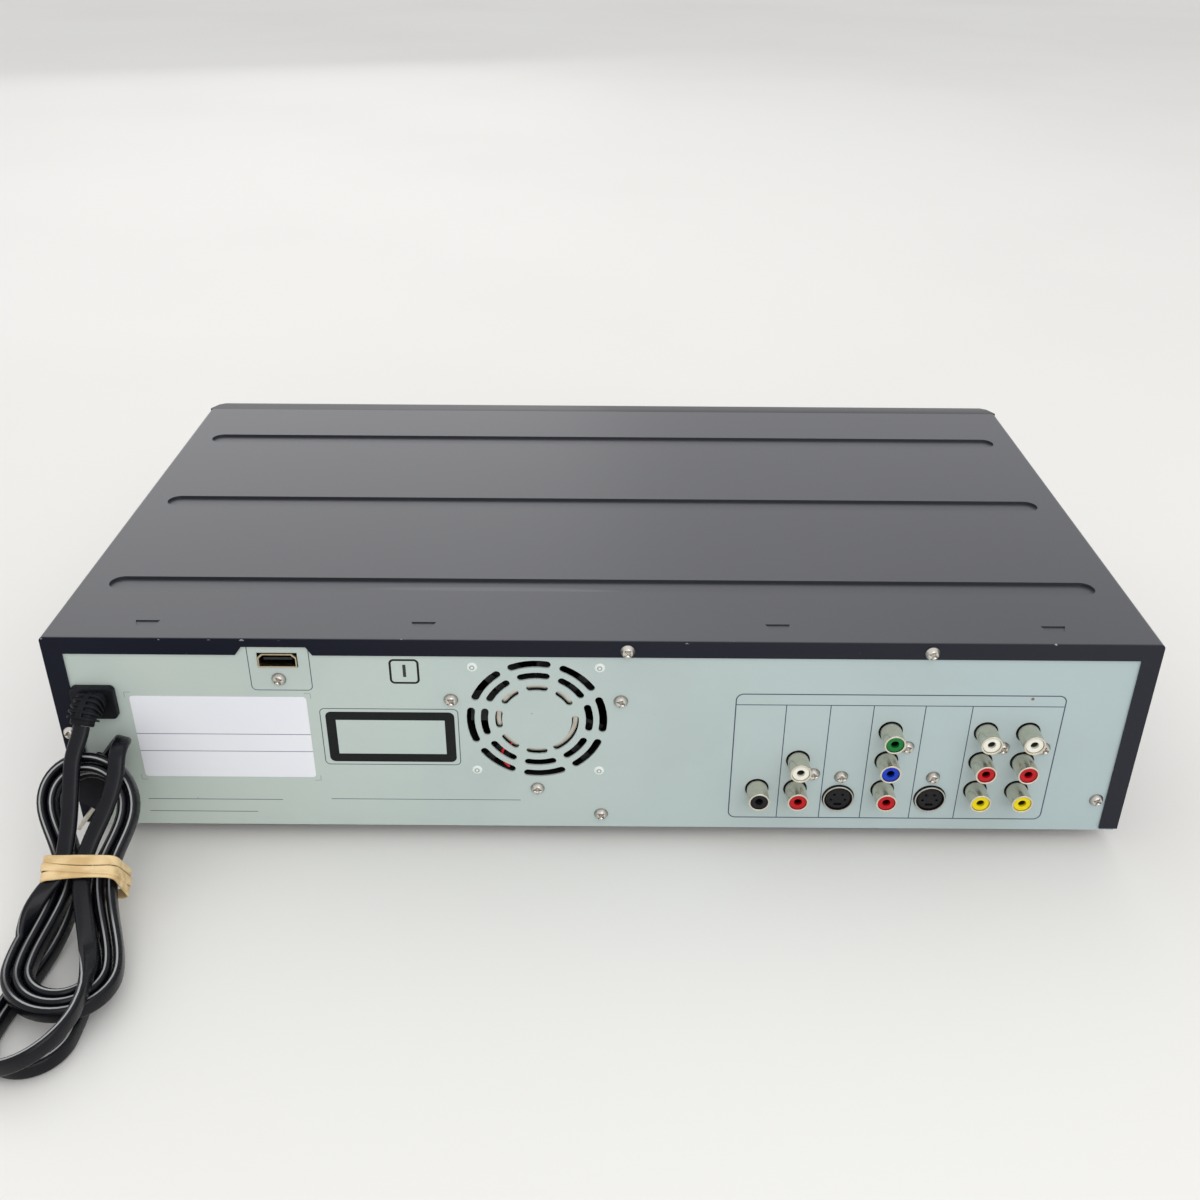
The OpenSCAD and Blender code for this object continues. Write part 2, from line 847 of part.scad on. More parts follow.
// One solid: block behind the panel, ring through it, and a face with four pin holes and a key
module svideo_sockets() {
    color([0.15, 0.15, 0.15])
        difference() {
            for (x = svideo_at)
                translate([jack_side + x, 0, svideo_z]) {
                    block([-6.7, panel_in_y - jack_block_d, board_top - svideo_z],
                        [6.7, panel_in_y, 14.5]);
                    bar_y(0, panel_in_y - eps, 0, svideo_r, sheet_t + 0.8);
                }
            for (x = svideo_at)
                translate([jack_side + x, panel_y + 0.8, svideo_z]) {
                    difference() {
                        bar_y(0, -1.4, 0, svideo_r - svideo_wall, 3);
                        bar_y(0, -1.4, 0, svideo_r - svideo_wall - 0.8, 1.2);
                    }
                    for (p = [[-1.7, 1.9], [1.7, 1.9], [-2.9, -0.7], [2.9, -0.7]])
                        bar_y(p[0], -6, p[1], 0.55, 8);
                    block([-1.6, -6, -3.6], [1.6, 2, -2.4]);
                }
            for (p = socket_screws)
                bar_y(p[0], panel_in_y - screw_l - 2, p[1], screw_hole_r, screw_l + 3);
        }
}

// ---- Boards ----

chip_h = 3;

module main_board() {
    x = main_board_x;
    y = main_board_y;
    color([0.2, 0.35, 0.2])
        difference() {
            union() {
                block([x[0], y[0], board_z], [x[1], y[1], board_top]);
                    // chips and a connector
                for (p = [[60, 150, 22, 22], [110, 140, 14, 30], [150, 160, 16, 16],
                    [70, 95, 26, 12], [130, 90, 18, 18]])
                    block([x[0] + p[0], y[0] + p[1], board_top - eps],
                        [x[0] + p[0] + p[2], y[0] + p[1] + p[3], board_top + chip_h]);
                block([x[1] - 8, y[0] + 60, board_top - eps], [x[1] - 3, y[0] + 110, board_top + 6]);
            }
            for (p = deck_posts)
                post(p[0], p[1], board_z - 1, board_top + 1, deck_post_r + 0.5);
        }
}

module power_board() {
    x = power_board_x;
    y = power_board_y;
    color([0.55, 0.42, 0.2]) {
        block([x[0], y[0], board_z], [x[1], y[1], board_top]);
        // smoothing capacitors, standing and lying
        for (p = [[16, 30, 5, 16], [30, 30, 5, 16], [16, 46, 5, 16], [92, 84, 9, 24]])
            translate([x[0] + p[0], y[0] + p[1], board_top - eps])
                cylinder(r = p[2], h = p[3]);
        block([x[1] - 30, y[0] + 96, board_top - eps], [x[1] - 6, y[0] + 108, board_top + 12]);
    }
}

module transformer() {
    x = power_board_x[0] + 50;
    y = power_board_y[0] + 40;
    color([0.75, 0.65, 0.3]) {
        block([x, y, board_top], [x + 30, y + 26, board_top + 4]);
        block([x + 2, y + 2, board_top + 4 - eps], [x + 28, y + 24, board_top + 18]);
        block([x, y + 6, board_top + 18 - eps], [x + 30, y + 20, board_top + 24]);
        for (i = [0, 24])
            block([x + i, y + 6, board_top + 4 - eps], [x + i + 6, y + 20, board_top + 18 + eps]);
    }
}

module heat_sink() {
    x = power_board_x[0] + 48;
    y = power_board_y[0] + 78;
    color([0.7, 0.7, 0.72]) {
        block([x, y, board_top], [x + 30, y + 3, board_top + 26]);
        for (i = [0:5])
            block([x + i * 5.6, y + 3 - eps, board_top], [x + i * 5.6 + 1.6, y + 13, board_top + 26]);
    }
}

switch_tip = 0.3;
stem_end = 6;

module front_board() {
    color([0.2, 0.35, 0.2]) {
        difference() {
            block([-half_w + 17.5, front_board_y, 14], [half_w - 72.5, front_board_y + board_t, 49]);
            // room for the drive's flat cable
            block([drive_x - 14, front_board_y - 1, 45], [drive_x + 16, front_board_y + 3, 50]);
        }
        // display behind its window, and a switch behind each button
        block([-50, front_board_y - 6, window_z - 9], [50, front_board_y + eps, window_z + 9]);
        for (x = button_at) {
            block([x - 3, front_board_y - 3.5, button_z - 3], [x + 3, front_board_y + eps, button_z + 3]);
            bar_y(x, face_y + stem_end + button_travel + switch_tip, button_z, 1.6,
                front_board_y - 3.5 - face_y - stem_end - button_travel - switch_tip + eps);
        }
    }
}

module front_jacks() {
    back = face_y + pocket_d + 2;
    color([0.75, 0.7, 0.6]) {
        block([pocket_x[0] + 2, back, front_jack_z - 7], [pocket_x[1] - 2, back + 9, front_jack_z + 7]);
        for (x = front_jack_at)
            translate([x, back + eps, front_jack_z])
                rotate([90, 0, 0])
                    difference() {
                        cylinder(r = barrel_r, h = pocket_d + 1.5);
                        translate([0, 0, 3])
                            cylinder(r = pin_hole_r, h = pocket_d);
                    }
    }
}

// ---- Tape deck ----

deck_wall_in = tape_w / 2 - 0.5;
carriage_t = 1;
holder_half = deck_wall_in - fit_gap - carriage_t - fit_gap;
holder_len = 60;
holder_y = deck_y + 10;
holder_z = door_z + 2;
holder_h = 26;
reel_gap = 46;
reel_y = deck_y + 62;
drum_y = deck_y + 147;
capstan_at = [deck_x + 58, deck_y + 124];
pinch_at = [deck_x + 84, deck_y + 132];
capstan_r = 2;
pinch_r = 7;
pinch_arm_l = 24;
pinch_swing = 18;
spindle_r = 2;
running = 0.05;

module deck_chassis() {
    color([0.7, 0.71, 0.72])
        difference() {
            union() {
                block([deck_x - deck_half, deck_y, deck_z],
                    [deck_x + deck_half, deck_y + deck_len, deck_top]);
                sides(deck_x, deck_wall_in, deck_half,
                    [deck_y + 4, holder_y + holder_len + carriage_travel + 10],
                    [deck_top - eps, deck_top + 44]);
                for (i = [-1, 1])
                    post(deck_x + i * reel_gap, reel_y, deck_top - eps, deck_top + 12, spindle_r);
                post(capstan_at[0], capstan_at[1], deck_top - eps, deck_top + 12, 6);
                post(pinch_at[0], pinch_at[1], deck_top - eps, deck_top + 26, spindle_r);
            }
            post(capstan_at[0], capstan_at[1], deck_z - 1, deck_top + 13, capstan_r + running);
            // lightening holes under the reels
            for (i = [-1, 1])
                translate([deck_x + i * 20, deck_y + 100, deck_z - 1])
                    cylinder(r = 8, h = chassis_t + 2);
        }
}

module lower_drum() {
    color([0.8, 0.8, 0.82]) {
        post(deck_x, drum_y, deck_top, deck_top + 14, 22);
        translate([deck_x, drum_y, deck_top + 13])
            rotate([-drum_tilt, 0, 0])
                difference() {
                    cylinder(r = drum_r, h = 14);
                    translate([0, 0, 4])
                        cylinder(r = 3 + running, h = 14);
                }
    }
}

// The upper drum carries the heads; its shaft turns in the lower drum
module head_drum() {
    color([0.86, 0.86, 0.88])
        translate([deck_x, drum_y, deck_top + 13])
            rotate([-drum_tilt, 0, 0])
                difference() {
                    union() {
                        translate([0, 0, 14 + fit_gap])
                            cylinder(r = drum_r, h = 15);
                        translate([0, 0, 5])
                            cylinder(r = 3, h = 12);
                    }
                    translate([0, 0, 25])
                        for (a = [0:60:300])
                            rotate(a)
                                translate([18, 0, 0])
                                    cylinder(r = 4, h = 10);
                }
}

module capstan() {
    color([0.6, 0.6, 0.62]) {
        post(capstan_at[0], capstan_at[1], deck_z - 9, deck_z - 3, flywheel_r);
        post(capstan_at[0], capstan_at[1], deck_z - 9, deck_top + 32, capstan_r);
    }
}

module reel_table() {
    base = deck_top + 0.6;
    difference() {
        union() {
            translate([0, 0, base])
                cylinder(r = 17, h = 4);
            translate([0, 0, base + 3])
                cylinder(r = 8, h = 11);
            for (a = [0, 120, 240])
                rotate(a)
                    translate([-1, 5, base + 3])
                        cube([2, 5.5, 8]);
        }
        translate([0, 0, base - 1])
            cylinder(r = spindle_r + running, h = 20);
    }
}

module supply_reel() {
    color([0.9, 0.9, 0.88])
        translate([deck_x - reel_gap, reel_y, 0])
            reel_table();
}

module takeup_reel() {
    color([0.9, 0.9, 0.88])
        translate([deck_x + reel_gap, reel_y, 0])
            reel_table();
}

// The roller meets the capstan at this angle of the arm, and rests one swing short of it
pinch_reach = norm(capstan_at - pinch_at);
pinch_touch = capstan_r + pinch_r + 0.4;
pinch_bearing = atan2(capstan_at[1] - pinch_at[1], capstan_at[0] - pinch_at[0]);
pinch_meet = acos((pinch_arm_l * pinch_arm_l + pinch_reach * pinch_reach - pinch_touch * pinch_touch)
    / (2 * pinch_arm_l * pinch_reach));
pinch_rest = pinch_bearing - pinch_meet - pinch_swing;

module pinch_arm() {
    low = deck_top + 17;
    color([0.3, 0.3, 0.32])
        translate([pinch_at[0], pinch_at[1], 0])
            rotate(pinch_rest)
                difference() {
                    union() {
                        translate([0, 0, low])
                            cylinder(r = 4.5, h = 8);
                        translate([0, -3, low])
                            cube([pinch_arm_l, 6, 2]);
                        translate([pinch_arm_l, 0, low])
                            cylinder(r = pinch_r, h = 14);
                    }
                    translate([0, 0, low - 1])
                        cylinder(r = spindle_r + running, h = 12);
                }
}

module tape_guides() {
    color([0.78, 0.78, 0.8]) {
        block([deck_x + 34, deck_y + 116, deck_top], [deck_x + 46, deck_y + 123, deck_top + 26]);
        block([deck_x - 52, deck_y + 120, deck_top], [deck_x - 42, deck_y + 128, deck_top + 26]);
        for (p = [[-70, 122], [24, 114.5], [-24, 114.5]])
            translate([deck_x + p[0], deck_y + p[1], deck_top]) {
                cylinder(r = 2, h = 28);
                cylinder(r = 3, h = 8);
                translate([0, 0, 26])
                    cylinder(r = 3, h = 3);
            }
    }
}

module holder_carriage() {
    inner = holder_half + fit_gap;
    top = holder_z + holder_h + 1 + fit_gap;
    color([0.6, 0.62, 0.63]) {
        sides(deck_x, inner, inner + carriage_t, [holder_y, holder_y + holder_len], [deck_top + 9, top]);
        block([deck_x - inner - carriage_t, holder_y + 14, top - eps],
            [deck_x + inner + carriage_t, holder_y + 24, top + carriage_t]);
    }
}

module cassette_holder() {
    ledge = 12;
    y = [holder_y, holder_y + holder_len];
    color([0.75, 0.76, 0.77]) {
        sides(deck_x, holder_half - 1, holder_half, y, [holder_z, holder_z + holder_h + 1]);
        sides(deck_x, holder_half - ledge, holder_half, y, [holder_z, holder_z + 1]);
        block([deck_x - holder_half, y[0] + 8, holder_z + holder_h],
            [deck_x + holder_half, y[0] + 40, holder_z + holder_h + 1]);
    }
}

module cassette_door() {
    lug = 3;
    color([0.07, 0.07, 0.08]) {
        block([deck_x - door_half, face_y, door_z], [deck_x + door_half, face_y + 2.5, door_top]);
        sides(deck_x, door_half - lug, door_half, [face_y, face_y + 4.6], [door_top - 4.3, door_top - 0.45]);
        for (x = [deck_x - door_half - door_pin_l + 0.2, deck_x + door_half - eps])
            bar_x(x, door_axis[0], door_axis[1], door_pin_r, door_pin_l - 0.2 + eps);
    }
}

// ---- Disc drive ----

base_t = 2;
tray_t = 6;
tray_gear_r = 12;
tray_z = drive_z + 20;
tray_front = face_y + 4;
tray_back = drive_y + 12 + tray_travel;
disc_y = tray_front + disc_r + 9.5;
ledge_z = tray_z - 0.3;
base_top = drive_z + 34;
slot_half = 22;
pickup_y = disc_y + 17;
pickup_len = 18;
rod_y = [disc_y + 13, pickup_y + pickup_len + pickup_travel + 10];
hinge_y = rod_y[1] + 3;
hinge_z = drive_z + 10;
traverse_half = 36;
frame_z = drive_z + 8;
frame_t = 4;
rod_z = frame_z + 7;
gear_x = drive_x - tray_w / 2 + 20;
gear_y = drive_y + 22;
rack_x = gear_x - tray_gear_r - fit_gap;
rack_t = 3.2;

module drive_base() {
    y = [drive_y, drive_y + drive_len];
    color([0.12, 0.12, 0.13])
        difference() {
            union() {
                block([drive_x - drive_half, y[0], drive_z], [drive_x + drive_half, y[1], drive_z + base_t]);
                sides(drive_x, drive_half - base_t, drive_half, y, [drive_z, base_top]);
                // the ledges that the tray slides on
                sides(drive_x, tray_w / 2 - 4, drive_half, y, [ledge_z - 2, ledge_z]);
                // ears for the traverse frame's pins
                sides(drive_x, traverse_half + 0.4, traverse_half + 4, [hinge_y - 4, hinge_y + 4],
                    [drive_z, hinge_z + 4]);
                block([drive_x - drive_half, y[1] - base_t, drive_z],
                    [drive_x + drive_half, y[1], tray_z + 8]);
                post(gear_x, gear_y, drive_z, drive_z + 20 - 1.2, 2);
            }
            // room for the traverse frame as it tilts
            block([drive_x - traverse_half - 1.5, disc_y - 22, drive_z - 1],
                [drive_x + traverse_half + 1.5, hinge_y - 5, drive_z + base_t + 1]);
            bar_x(drive_x - traverse_half - 5, hinge_y, hinge_z, 2 + 0.1, 2 * traverse_half + 10);
        }
}

module disc_tray() {
    w = tray_w / 2;
    color([0.1, 0.1, 0.11]) {
        difference() {
            block([drive_x - w, tray_front, tray_z], [drive_x + w, tray_back, tray_z + tray_t]);
            translate([drive_x, disc_y, tray_z + tray_t - 2.2])
                cylinder(r = disc_r, h = 5);
            translate([drive_x, disc_y, tray_z + tray_t - 3.4])
                cylinder(r = 41, h = 5);
            // slot for the spindle and the pickup, open to the rear
            translate([drive_x, disc_y, tray_z - 1])
                cylinder(r = slot_half, h = 10);
            block([drive_x - slot_half, disc_y, tray_z - 1],
                [drive_x + slot_half, tray_back + 1, tray_z + 10]);
        }
        block([rack_x - rack_t, tray_front + 26, fascia_z - 0.1], [rack_x, tray_back, tray_z + eps]);
        sides(drive_x, w - eps, w + 1.6, [tray_front + 18, tray_back], [tray_z, tray_z + 2]);
    }
}

module tray_fascia() {
    color([0.07, 0.07, 0.08])
        block([drive_x - fascia_w / 2, face_y, fascia_z],
            [drive_x + fascia_w / 2, tray_front, fascia_z + fascia_h]);
}

module tray_gear() {
    teeth = 24;
    color([0.85, 0.85, 0.8])
        translate([gear_x, gear_y, drive_z + base_t + 10])
            difference() {
                union() {
                    cylinder(r = tray_gear_r - 1.6, h = 6);
                    for (i = [0:teeth - 1])
                        rotate(360 / teeth * i)
                            translate([tray_gear_r - 2, -0.7, 0])
                                cube([1.9, 1.4, 6]);
                }
                translate([0, 0, -1])
                    cylinder(r = 2 + running, h = 8);
            }
}

clamp_hole_r = 14;

module clamp_bridge() {
    color([0.7, 0.71, 0.72])
        difference() {
            block([drive_x - drive_half, disc_y - 18, base_top],
                [drive_x + drive_half, disc_y + 18, base_top + 1.5]);
            post(drive_x, disc_y, base_top - 1, base_top + 3, clamp_hole_r);
        }
}

// Hangs in the bridge by its rim, just above the disc
module disc_clamper() {
    color([0.9, 0.9, 0.9]) {
        post(drive_x, disc_y, tray_z + tray_t + 0.5, base_top + 2, clamp_hole_r - 1.2);
        post(drive_x, disc_y, base_top + 1.8, base_top + 3.6, clamp_hole_r + 3);
    }
}

window_half = traverse_half - 4;

module traverse_frame() {
    y = [disc_y - 19, hinge_y + 4];
    color([0.25, 0.25, 0.27]) {
        difference() {
            union() {
                block([drive_x - traverse_half, y[0], frame_z],
                    [drive_x + traverse_half, y[1], frame_z + frame_t]);
                // walls that hold the rods' and the screw's ends
                for (b = [rod_y[0] - 3, rod_y[1]])
                    block([drive_x - traverse_half + 2, b, frame_z],
                        [drive_x + traverse_half - 2, b + 3, rod_z + 2.5]);
                post(drive_x, disc_y, frame_z, frame_z + 9, 13);
            }
            block([drive_x - window_half, rod_y[0], frame_z - 1],
                [drive_x + window_half, rod_y[1], frame_z + 5]);
            post(drive_x, disc_y, frame_z + 3, frame_z + 12, 1.5 + running);
            bar_y(drive_x + 29, rod_y[0] - 4, rod_z, 1.5 + running, rod_y[1] - rod_y[0] + 8);
        }
        // steel rods that the pickup runs on, pressed into the walls
        for (x = [-22, 22])
            bar_y(drive_x + x, rod_y[0] - 1, rod_z, 1.5, rod_y[1] - rod_y[0] + 2);
        for (x = [-traverse_half - 3.5, traverse_half - eps])
            bar_x(drive_x + x, hinge_y, hinge_z, 2, 3.5 + eps);
    }
}

module disc_turntable() {
    seat = tray_z + tray_t - 1.2;
    color([0.3, 0.3, 0.32]) {
        post(drive_x, disc_y, frame_z + 3.3, seat, 1.5);
        post(drive_x, disc_y, seat - 3, seat, 15);
        post(drive_x, disc_y, seat - eps, seat + 1.2, 7.3);
    }
}

module optical_pickup() {
    y = [pickup_y, pickup_y + pickup_len];
    color([0.35, 0.35, 0.38])
        difference() {
            union() {
                block([drive_x - 25.2, y[0], rod_z - 3], [drive_x + 25.2, y[1], rod_z + 2.6]);
                block([drive_x + 25, y[0] + 6, rod_z - 3], [drive_x + 27.2, y[0] + 12, rod_z + 1]);
                post(drive_x, y[0] + 7, rod_z + 2.6 - eps, rod_z + 3.6, 3);
            }
            for (x = [-22, 22])
                bar_y(drive_x + x, y[0] - 1, rod_z, 1.5 + running, pickup_len + 2);
        }
}

module lead_screw() {
    color([0.75, 0.75, 0.78])
        bar_y(drive_x + 29, rod_y[0] - 2.5, rod_z, 1.5, rod_y[1] - rod_y[0] + 5);
}

// ---- Buttons ----

module button(i) {
    color([0.12, 0.12, 0.13])
        translate([button_at[i], 0, button_z]) {
            upright(face_y - button_proud, button_proud + bezel_t + fit_gap + eps)
                rounded([button_w, button_h], 1.3);
            upright(face_y + bezel_t + fit_gap, 1)
                rounded([button_w + 2.4, button_h + 2.4], 1.5);
            bar_y(0, face_y + bezel_t + fit_gap, 0, 2, stem_end - bezel_t - fit_gap);
        }
}

module power_button() {
    button(0);
}

module stop_eject_button() {
    button(1);
}

module rewind_button() {
    button(2);
}

module play_button() {
    button(3);
}

module forward_button() {
    button(4);
}

module disc_open_button() {
    button(5);
}

module disc_play_button() {
    button(6);
}

module disc_stop_button() {
    button(7);
}

// ---- Mains cord ----

function unit(v) = v / norm(v);

// A smooth step from 0 to 1
function ease(f) = f <= 0 ? 0 : f >= 1 ? 1 : f * f * (3 - 2 * f);

// The corners of one ring of a swept tube, its width along the given direction
function ring(c, along, wide, outline) =
    let (w = unit(wide - (wide * along) * along), n = cross(along, w))
    [for (p = outline) c + n * p[0] + w * p[1]];

// A closed tube through rings that all have the same number of corners
module swept(rings) {
    n = len(rings[0]);
    last = len(rings) - 1;
    sides = [for (i = [0:last - 1], j = [0:n - 1])
        let (a = i * n + j, b = i * n + (j + 1) % n)
        each [[a, a + n, b], [b, a + n, b + n]]];
    caps = [for (j = [1:n - 2]) each [[0, j, j + 1], [last * n, last * n + j + 1, last * n + j]]];
    polyhedron(points = [for (r = rings) each r], faces = concat(sides, caps));
}

cord_outline = [[0, cord_w / 2], [cord_t / 2, cord_w / 4], [cord_t / 2, -cord_w / 4],
    [0, -cord_w / 2], [-cord_t / 2, -cord_w / 4], [-cord_t / 2, cord_w / 4]];

// The hank's middle line: straight down the slope, an arc, then flat on the floor
hank_top = [half_w - 15.5, rear_y + 12, 51.5];
hank_lean = 50;
hank_straight = 20;
hank_len = 135;
hank_drift = -11;
layer_step = cord_w + 0.6;
hank_low = (cord_w + layer_step) / 2 + 0.3;
hank_arc_drop = hank_top[2] - hank_low - hank_straight * sin(hank_lean);
hank_arc_r = hank_arc_drop / (1 - cos(hank_lean));
hank_arc_l = hank_arc_r * hank_lean * PI / 180;
hank_foot = hank_straight + hank_arc_l;

// The slope of the middle line, s along it from its top
function hank_slope(s) =
    s < hank_straight ? hank_lean
    : s > hank_foot ? 0
    : hank_lean * (hank_foot - s) / hank_arc_l;

// Its depth and height below the top
function hank_line(s) =
    let (a = hank_slope(s))
    s < hank_straight ? [s * cos(hank_lean), -s * sin(hank_lean)]
    : [hank_straight * cos(hank_lean) + hank_arc_r * (sin(hank_lean) - sin(a)) + max(0, s - hank_foot),
       -hank_straight * sin(hank_lean) - hank_arc_r * (cos(a) - cos(hank_lean))];

function hank_normal(s) = [0, sin(hank_slope(s)), cos(hank_slope(s))];

// A place in the hank: s along it, v across it, w out of its middle
function hank_point(s, v, w) =
    let (m = hank_line(s))
    hank_top + [hank_drift * s / hank_len + v, m[0], m[1]] + w * hank_normal(s);

// Loops spiral in on the upper layer, climb down along a run, and spiral out on the lower layer
rings_a_loop = 24;
first_t = 5 / rings_a_loop;
turn_in = 2.5;
turn_out = 2.75;
last_fold = 4.25;
fold_s = 18;
waist_s = 47;
waist_half = 14;
waist_step = hank_step + 0.4;
upper_short = 24;
spread_s = 60;
spread_upper = -4;
spread_lower = 6;
edge_w = 1.5 * layer_step;
flat_w = layer_step / 2 + (cord_w + cord_t) / 2 + 0.5;
crossing_v = -1.5;
crossing_end = [2, -13.5];

function turned(t) = ease((t - turn_in) / (turn_out - turn_in));
function nest(t) = t < turn_in ? t : t > turn_out ? turn_in + turn_out - t : turn_in;
function fold_r(t) = hank_r - hank_step * nest(t);
function waist_v(t) = waist_half - waist_step * nest(t);
function low_fold(t) = hank_len - hank_r - upper_short * (1 - turned(t));
function level(t) = layer_step * (0.5 - turned(t)) + (edge_w + layer_step / 2) * ease((t - last_fold) * 4);
function spread(s, t) = (spread_upper + (spread_lower - spread_upper) * turned(t))
    * ease((s - spread_s) / (hank_len - spread_s));

// How far a run is drawn out from the waist towards the fold above or below it
function drawn_out(s, t) =
    s < waist_s ? ease((waist_s - s) / (waist_s - fold_s))
    : ease((s - waist_s) / (low_fold(t) - waist_s));

function run_v(s, t) = waist_v(t) + (fold_r(t) - waist_v(t)) * drawn_out(s, t);

// Along and across the hank after t loops: down, round, up and round
function loop_at(t) =
    let (q = (t - floor(t)) * 4, f = q - floor(q), r = fold_r(t), low = low_fold(t),
        down = fold_s + f * (low - fold_s), up = low - f * (low - fold_s))
    q < 1 ? [down, run_v(down, t)]
    : q < 2 ? [low + r * sin(180 * f), r * cos(180 * f)]
    : q < 3 ? [up, -run_v(up, t)]
    : [fold_s - r * sin(180 * f), -r * cos(180 * f)];

// The last run lies flat over the loops, from the lower fold to the upper corner
function crossing_at(f) =
    let (low = low_fold(4.5), s = low + f * (crossing_end[0] - low), side = fold_r(4.5),
        below = (side + crossing_v) * ease((s - waist_s) / (low - waist_s)),
        above = (crossing_v - crossing_end[1]) * ease((waist_s - s) / (waist_s - crossing_end[0])))
    [s, crossing_v - below - above];

// Along, across, out and the twist of the cord from standing to flat
function hank_place(t) =
    let (f = (t - 4.5) * 4, p = f <= 0 ? loop_at(t) : crossing_at(f))
    [p[0], p[1] + spread(p[0], t), f <= 0 ? level(t) : edge_w + (flat_w - edge_w) * ease(f / 0.3),
     90 * ease((f - 0.05) / 0.3)];

function placed(p) = hank_point(p[0], p[1], p[2]);
function wide_at(p) = hank_normal(p[0]) * cos(p[3]) + [1, 0, 0] * sin(p[3]);

// The crossing run turns back over the top, down behind the hank and into the plug
plug_y = rear_y + 4.7;
plug_lean = 37;
plug_way = [sin(plug_lean), 0, -cos(plug_lean)];
turn_from = placed([crossing_end[0], crossing_end[1], flat_w]);
turn_r = (turn_from[1] - plug_y) / (1 + sin(hank_lean));
turn_c = [turn_from[0], turn_from[1] - turn_r * sin(hank_lean), turn_from[2] - turn_r * cos(hank_lean)];
turn_steps = 8;

function turn_at(a) = turn_c + [a < 90 ? 0 : turn_r * tan(plug_lean) * (1 - cos(a - 90)),
    turn_r * cos(a), turn_r * sin(a)];
function turn_wide(a) = let (b = plug_lean * ease((a - 70) / 110)) [cos(b), 0, sin(b)];

turn_angles = [for (i = [1:turn_steps]) 90 - hank_lean + i * (90 + hank_lean) / turn_steps];
plug_at = turn_at(180) + (cord_w + 0.5) * plug_way;
loop_times = [for (i = [first_t * rings_a_loop:4.75 * rings_a_loop]) i / rings_a_loop];
hank_spots = concat([for (t = loop_times) placed(hank_place(t))], [for (a = turn_angles) turn_at(a)],
    [turn_at(180) + (cord_w + 0.5) / 2 * plug_way, plug_at]);
hank_wides = concat([for (t = loop_times) wide_at(hank_place(t))], [for (a = turn_angles) turn_wide(a)],
    [turn_wide(180), turn_wide(180)]);
hank_count = len(hank_spots);
hank_ways = [for (i = [0:hank_count - 1])
    i == hank_count - 1 || i == hank_count - 2 ? plug_way
    : unit(hank_spots[i + 1] - hank_spots[max(0, i - 1)])];
hank_rings = [for (i = [0:hank_count - 1])
    ring(hank_spots[i], hank_ways[i], hank_wides[i], cord_outline)];

// Least gap between two parts of the hank, measured between its rings
function reach(i, u) = max([for (p = hank_rings[i]) abs((p - hank_spots[i]) * u)]);
function ring_gap(i, j) =
    let (d = hank_spots[j] - hank_spots[i], n = cross(hank_ways[i], unit(hank_wides[i])))
    max([for (u = [unit(d), unit(hank_wides[i]), n, unit(hank_wides[i] + n), unit(hank_wides[i] - n)])
        abs(d * u) - reach(i, u) - reach(j, u)]);
near_rings = [for (i = [0:hank_count - 8], j = [i + 7:hank_count - 1])
    if (norm(hank_spots[j] - hank_spots[i]) < 12) ring_gap(i, j)];
hank_path = [for (i = [1:hank_count - 1]) norm(hank_spots[i] - hank_spots[i - 1])];
echo("least gap in the hank", min(near_rings), "length of the hank", hank_path * [for (p = hank_path) 1]);

module cord_hank() {
    color([0.06, 0.06, 0.07])
        swept(hank_rings);
}

// Gland: a plate outside the panel, a neck, a block inside and a ribbed boot
boot_at = [gland_x, panel_y + 3, gland_z + 1.9];
boot_r = 10;
boot_turn = 12;
boot_end_l = 3;
boot_way = [sin(boot_turn) * cos(hank_lean), cos(boot_turn) * cos(hank_lean), -sin(hank_lean)];
boot_out = boot_r * sin(hank_lean) + boot_end_l * cos(hank_lean);
boot_end = boot_at + [sin(boot_turn) * boot_out, cos(boot_turn) * boot_out,
    -boot_r * (1 - cos(hank_lean)) - boot_end_l * sin(hank_lean)];

module boot_part(from, angle, size) {
    translate([0, 0, -boot_r])
        rotate([-from, 0, 0])
            rotate([0, -90, 0])
                rotate_extrude(angle = angle)
                    translate([boot_r, 0])
                        rounded(size, 2);
}

module cord_gland() {
    color([0.07, 0.07, 0.08]) {
        upright(panel_y, 3)
            translate([gland_x, gland_z])
                rounded([gland_w, gland_h], 2);
        upright(panel_in_y - 4, 4 + sheet_t + eps)
            translate([gland_x, gland_z])
                square(gland_neck, center = true);
        upright(panel_in_y - 6, 6)
            translate([gland_x, gland_z])
                square([gland_w - 2, gland_h - 2], center = true);
        translate(boot_at)
            rotate([0, 0, -boot_turn]) {
                rotate([90, 0, 0])
                    linear_extrude(2)
                        rounded([10, 7], 2);
                boot_part(0, hank_lean, [6.4, 9.4]);
                for (a = [4:11:hank_lean])
                    boot_part(a, 6, [8.2, 11.6]);
                translate([0, boot_r * sin(hank_lean), -boot_r * (1 - cos(hank_lean))])
                    rotate([-hank_lean, 0, 0])
                        rotate([-90, 0, 0])
                            translate([0, 0, -eps])
                                linear_extrude(boot_end_l + eps)
                                    rounded([9, 5.8], 2);
            }
    }
}

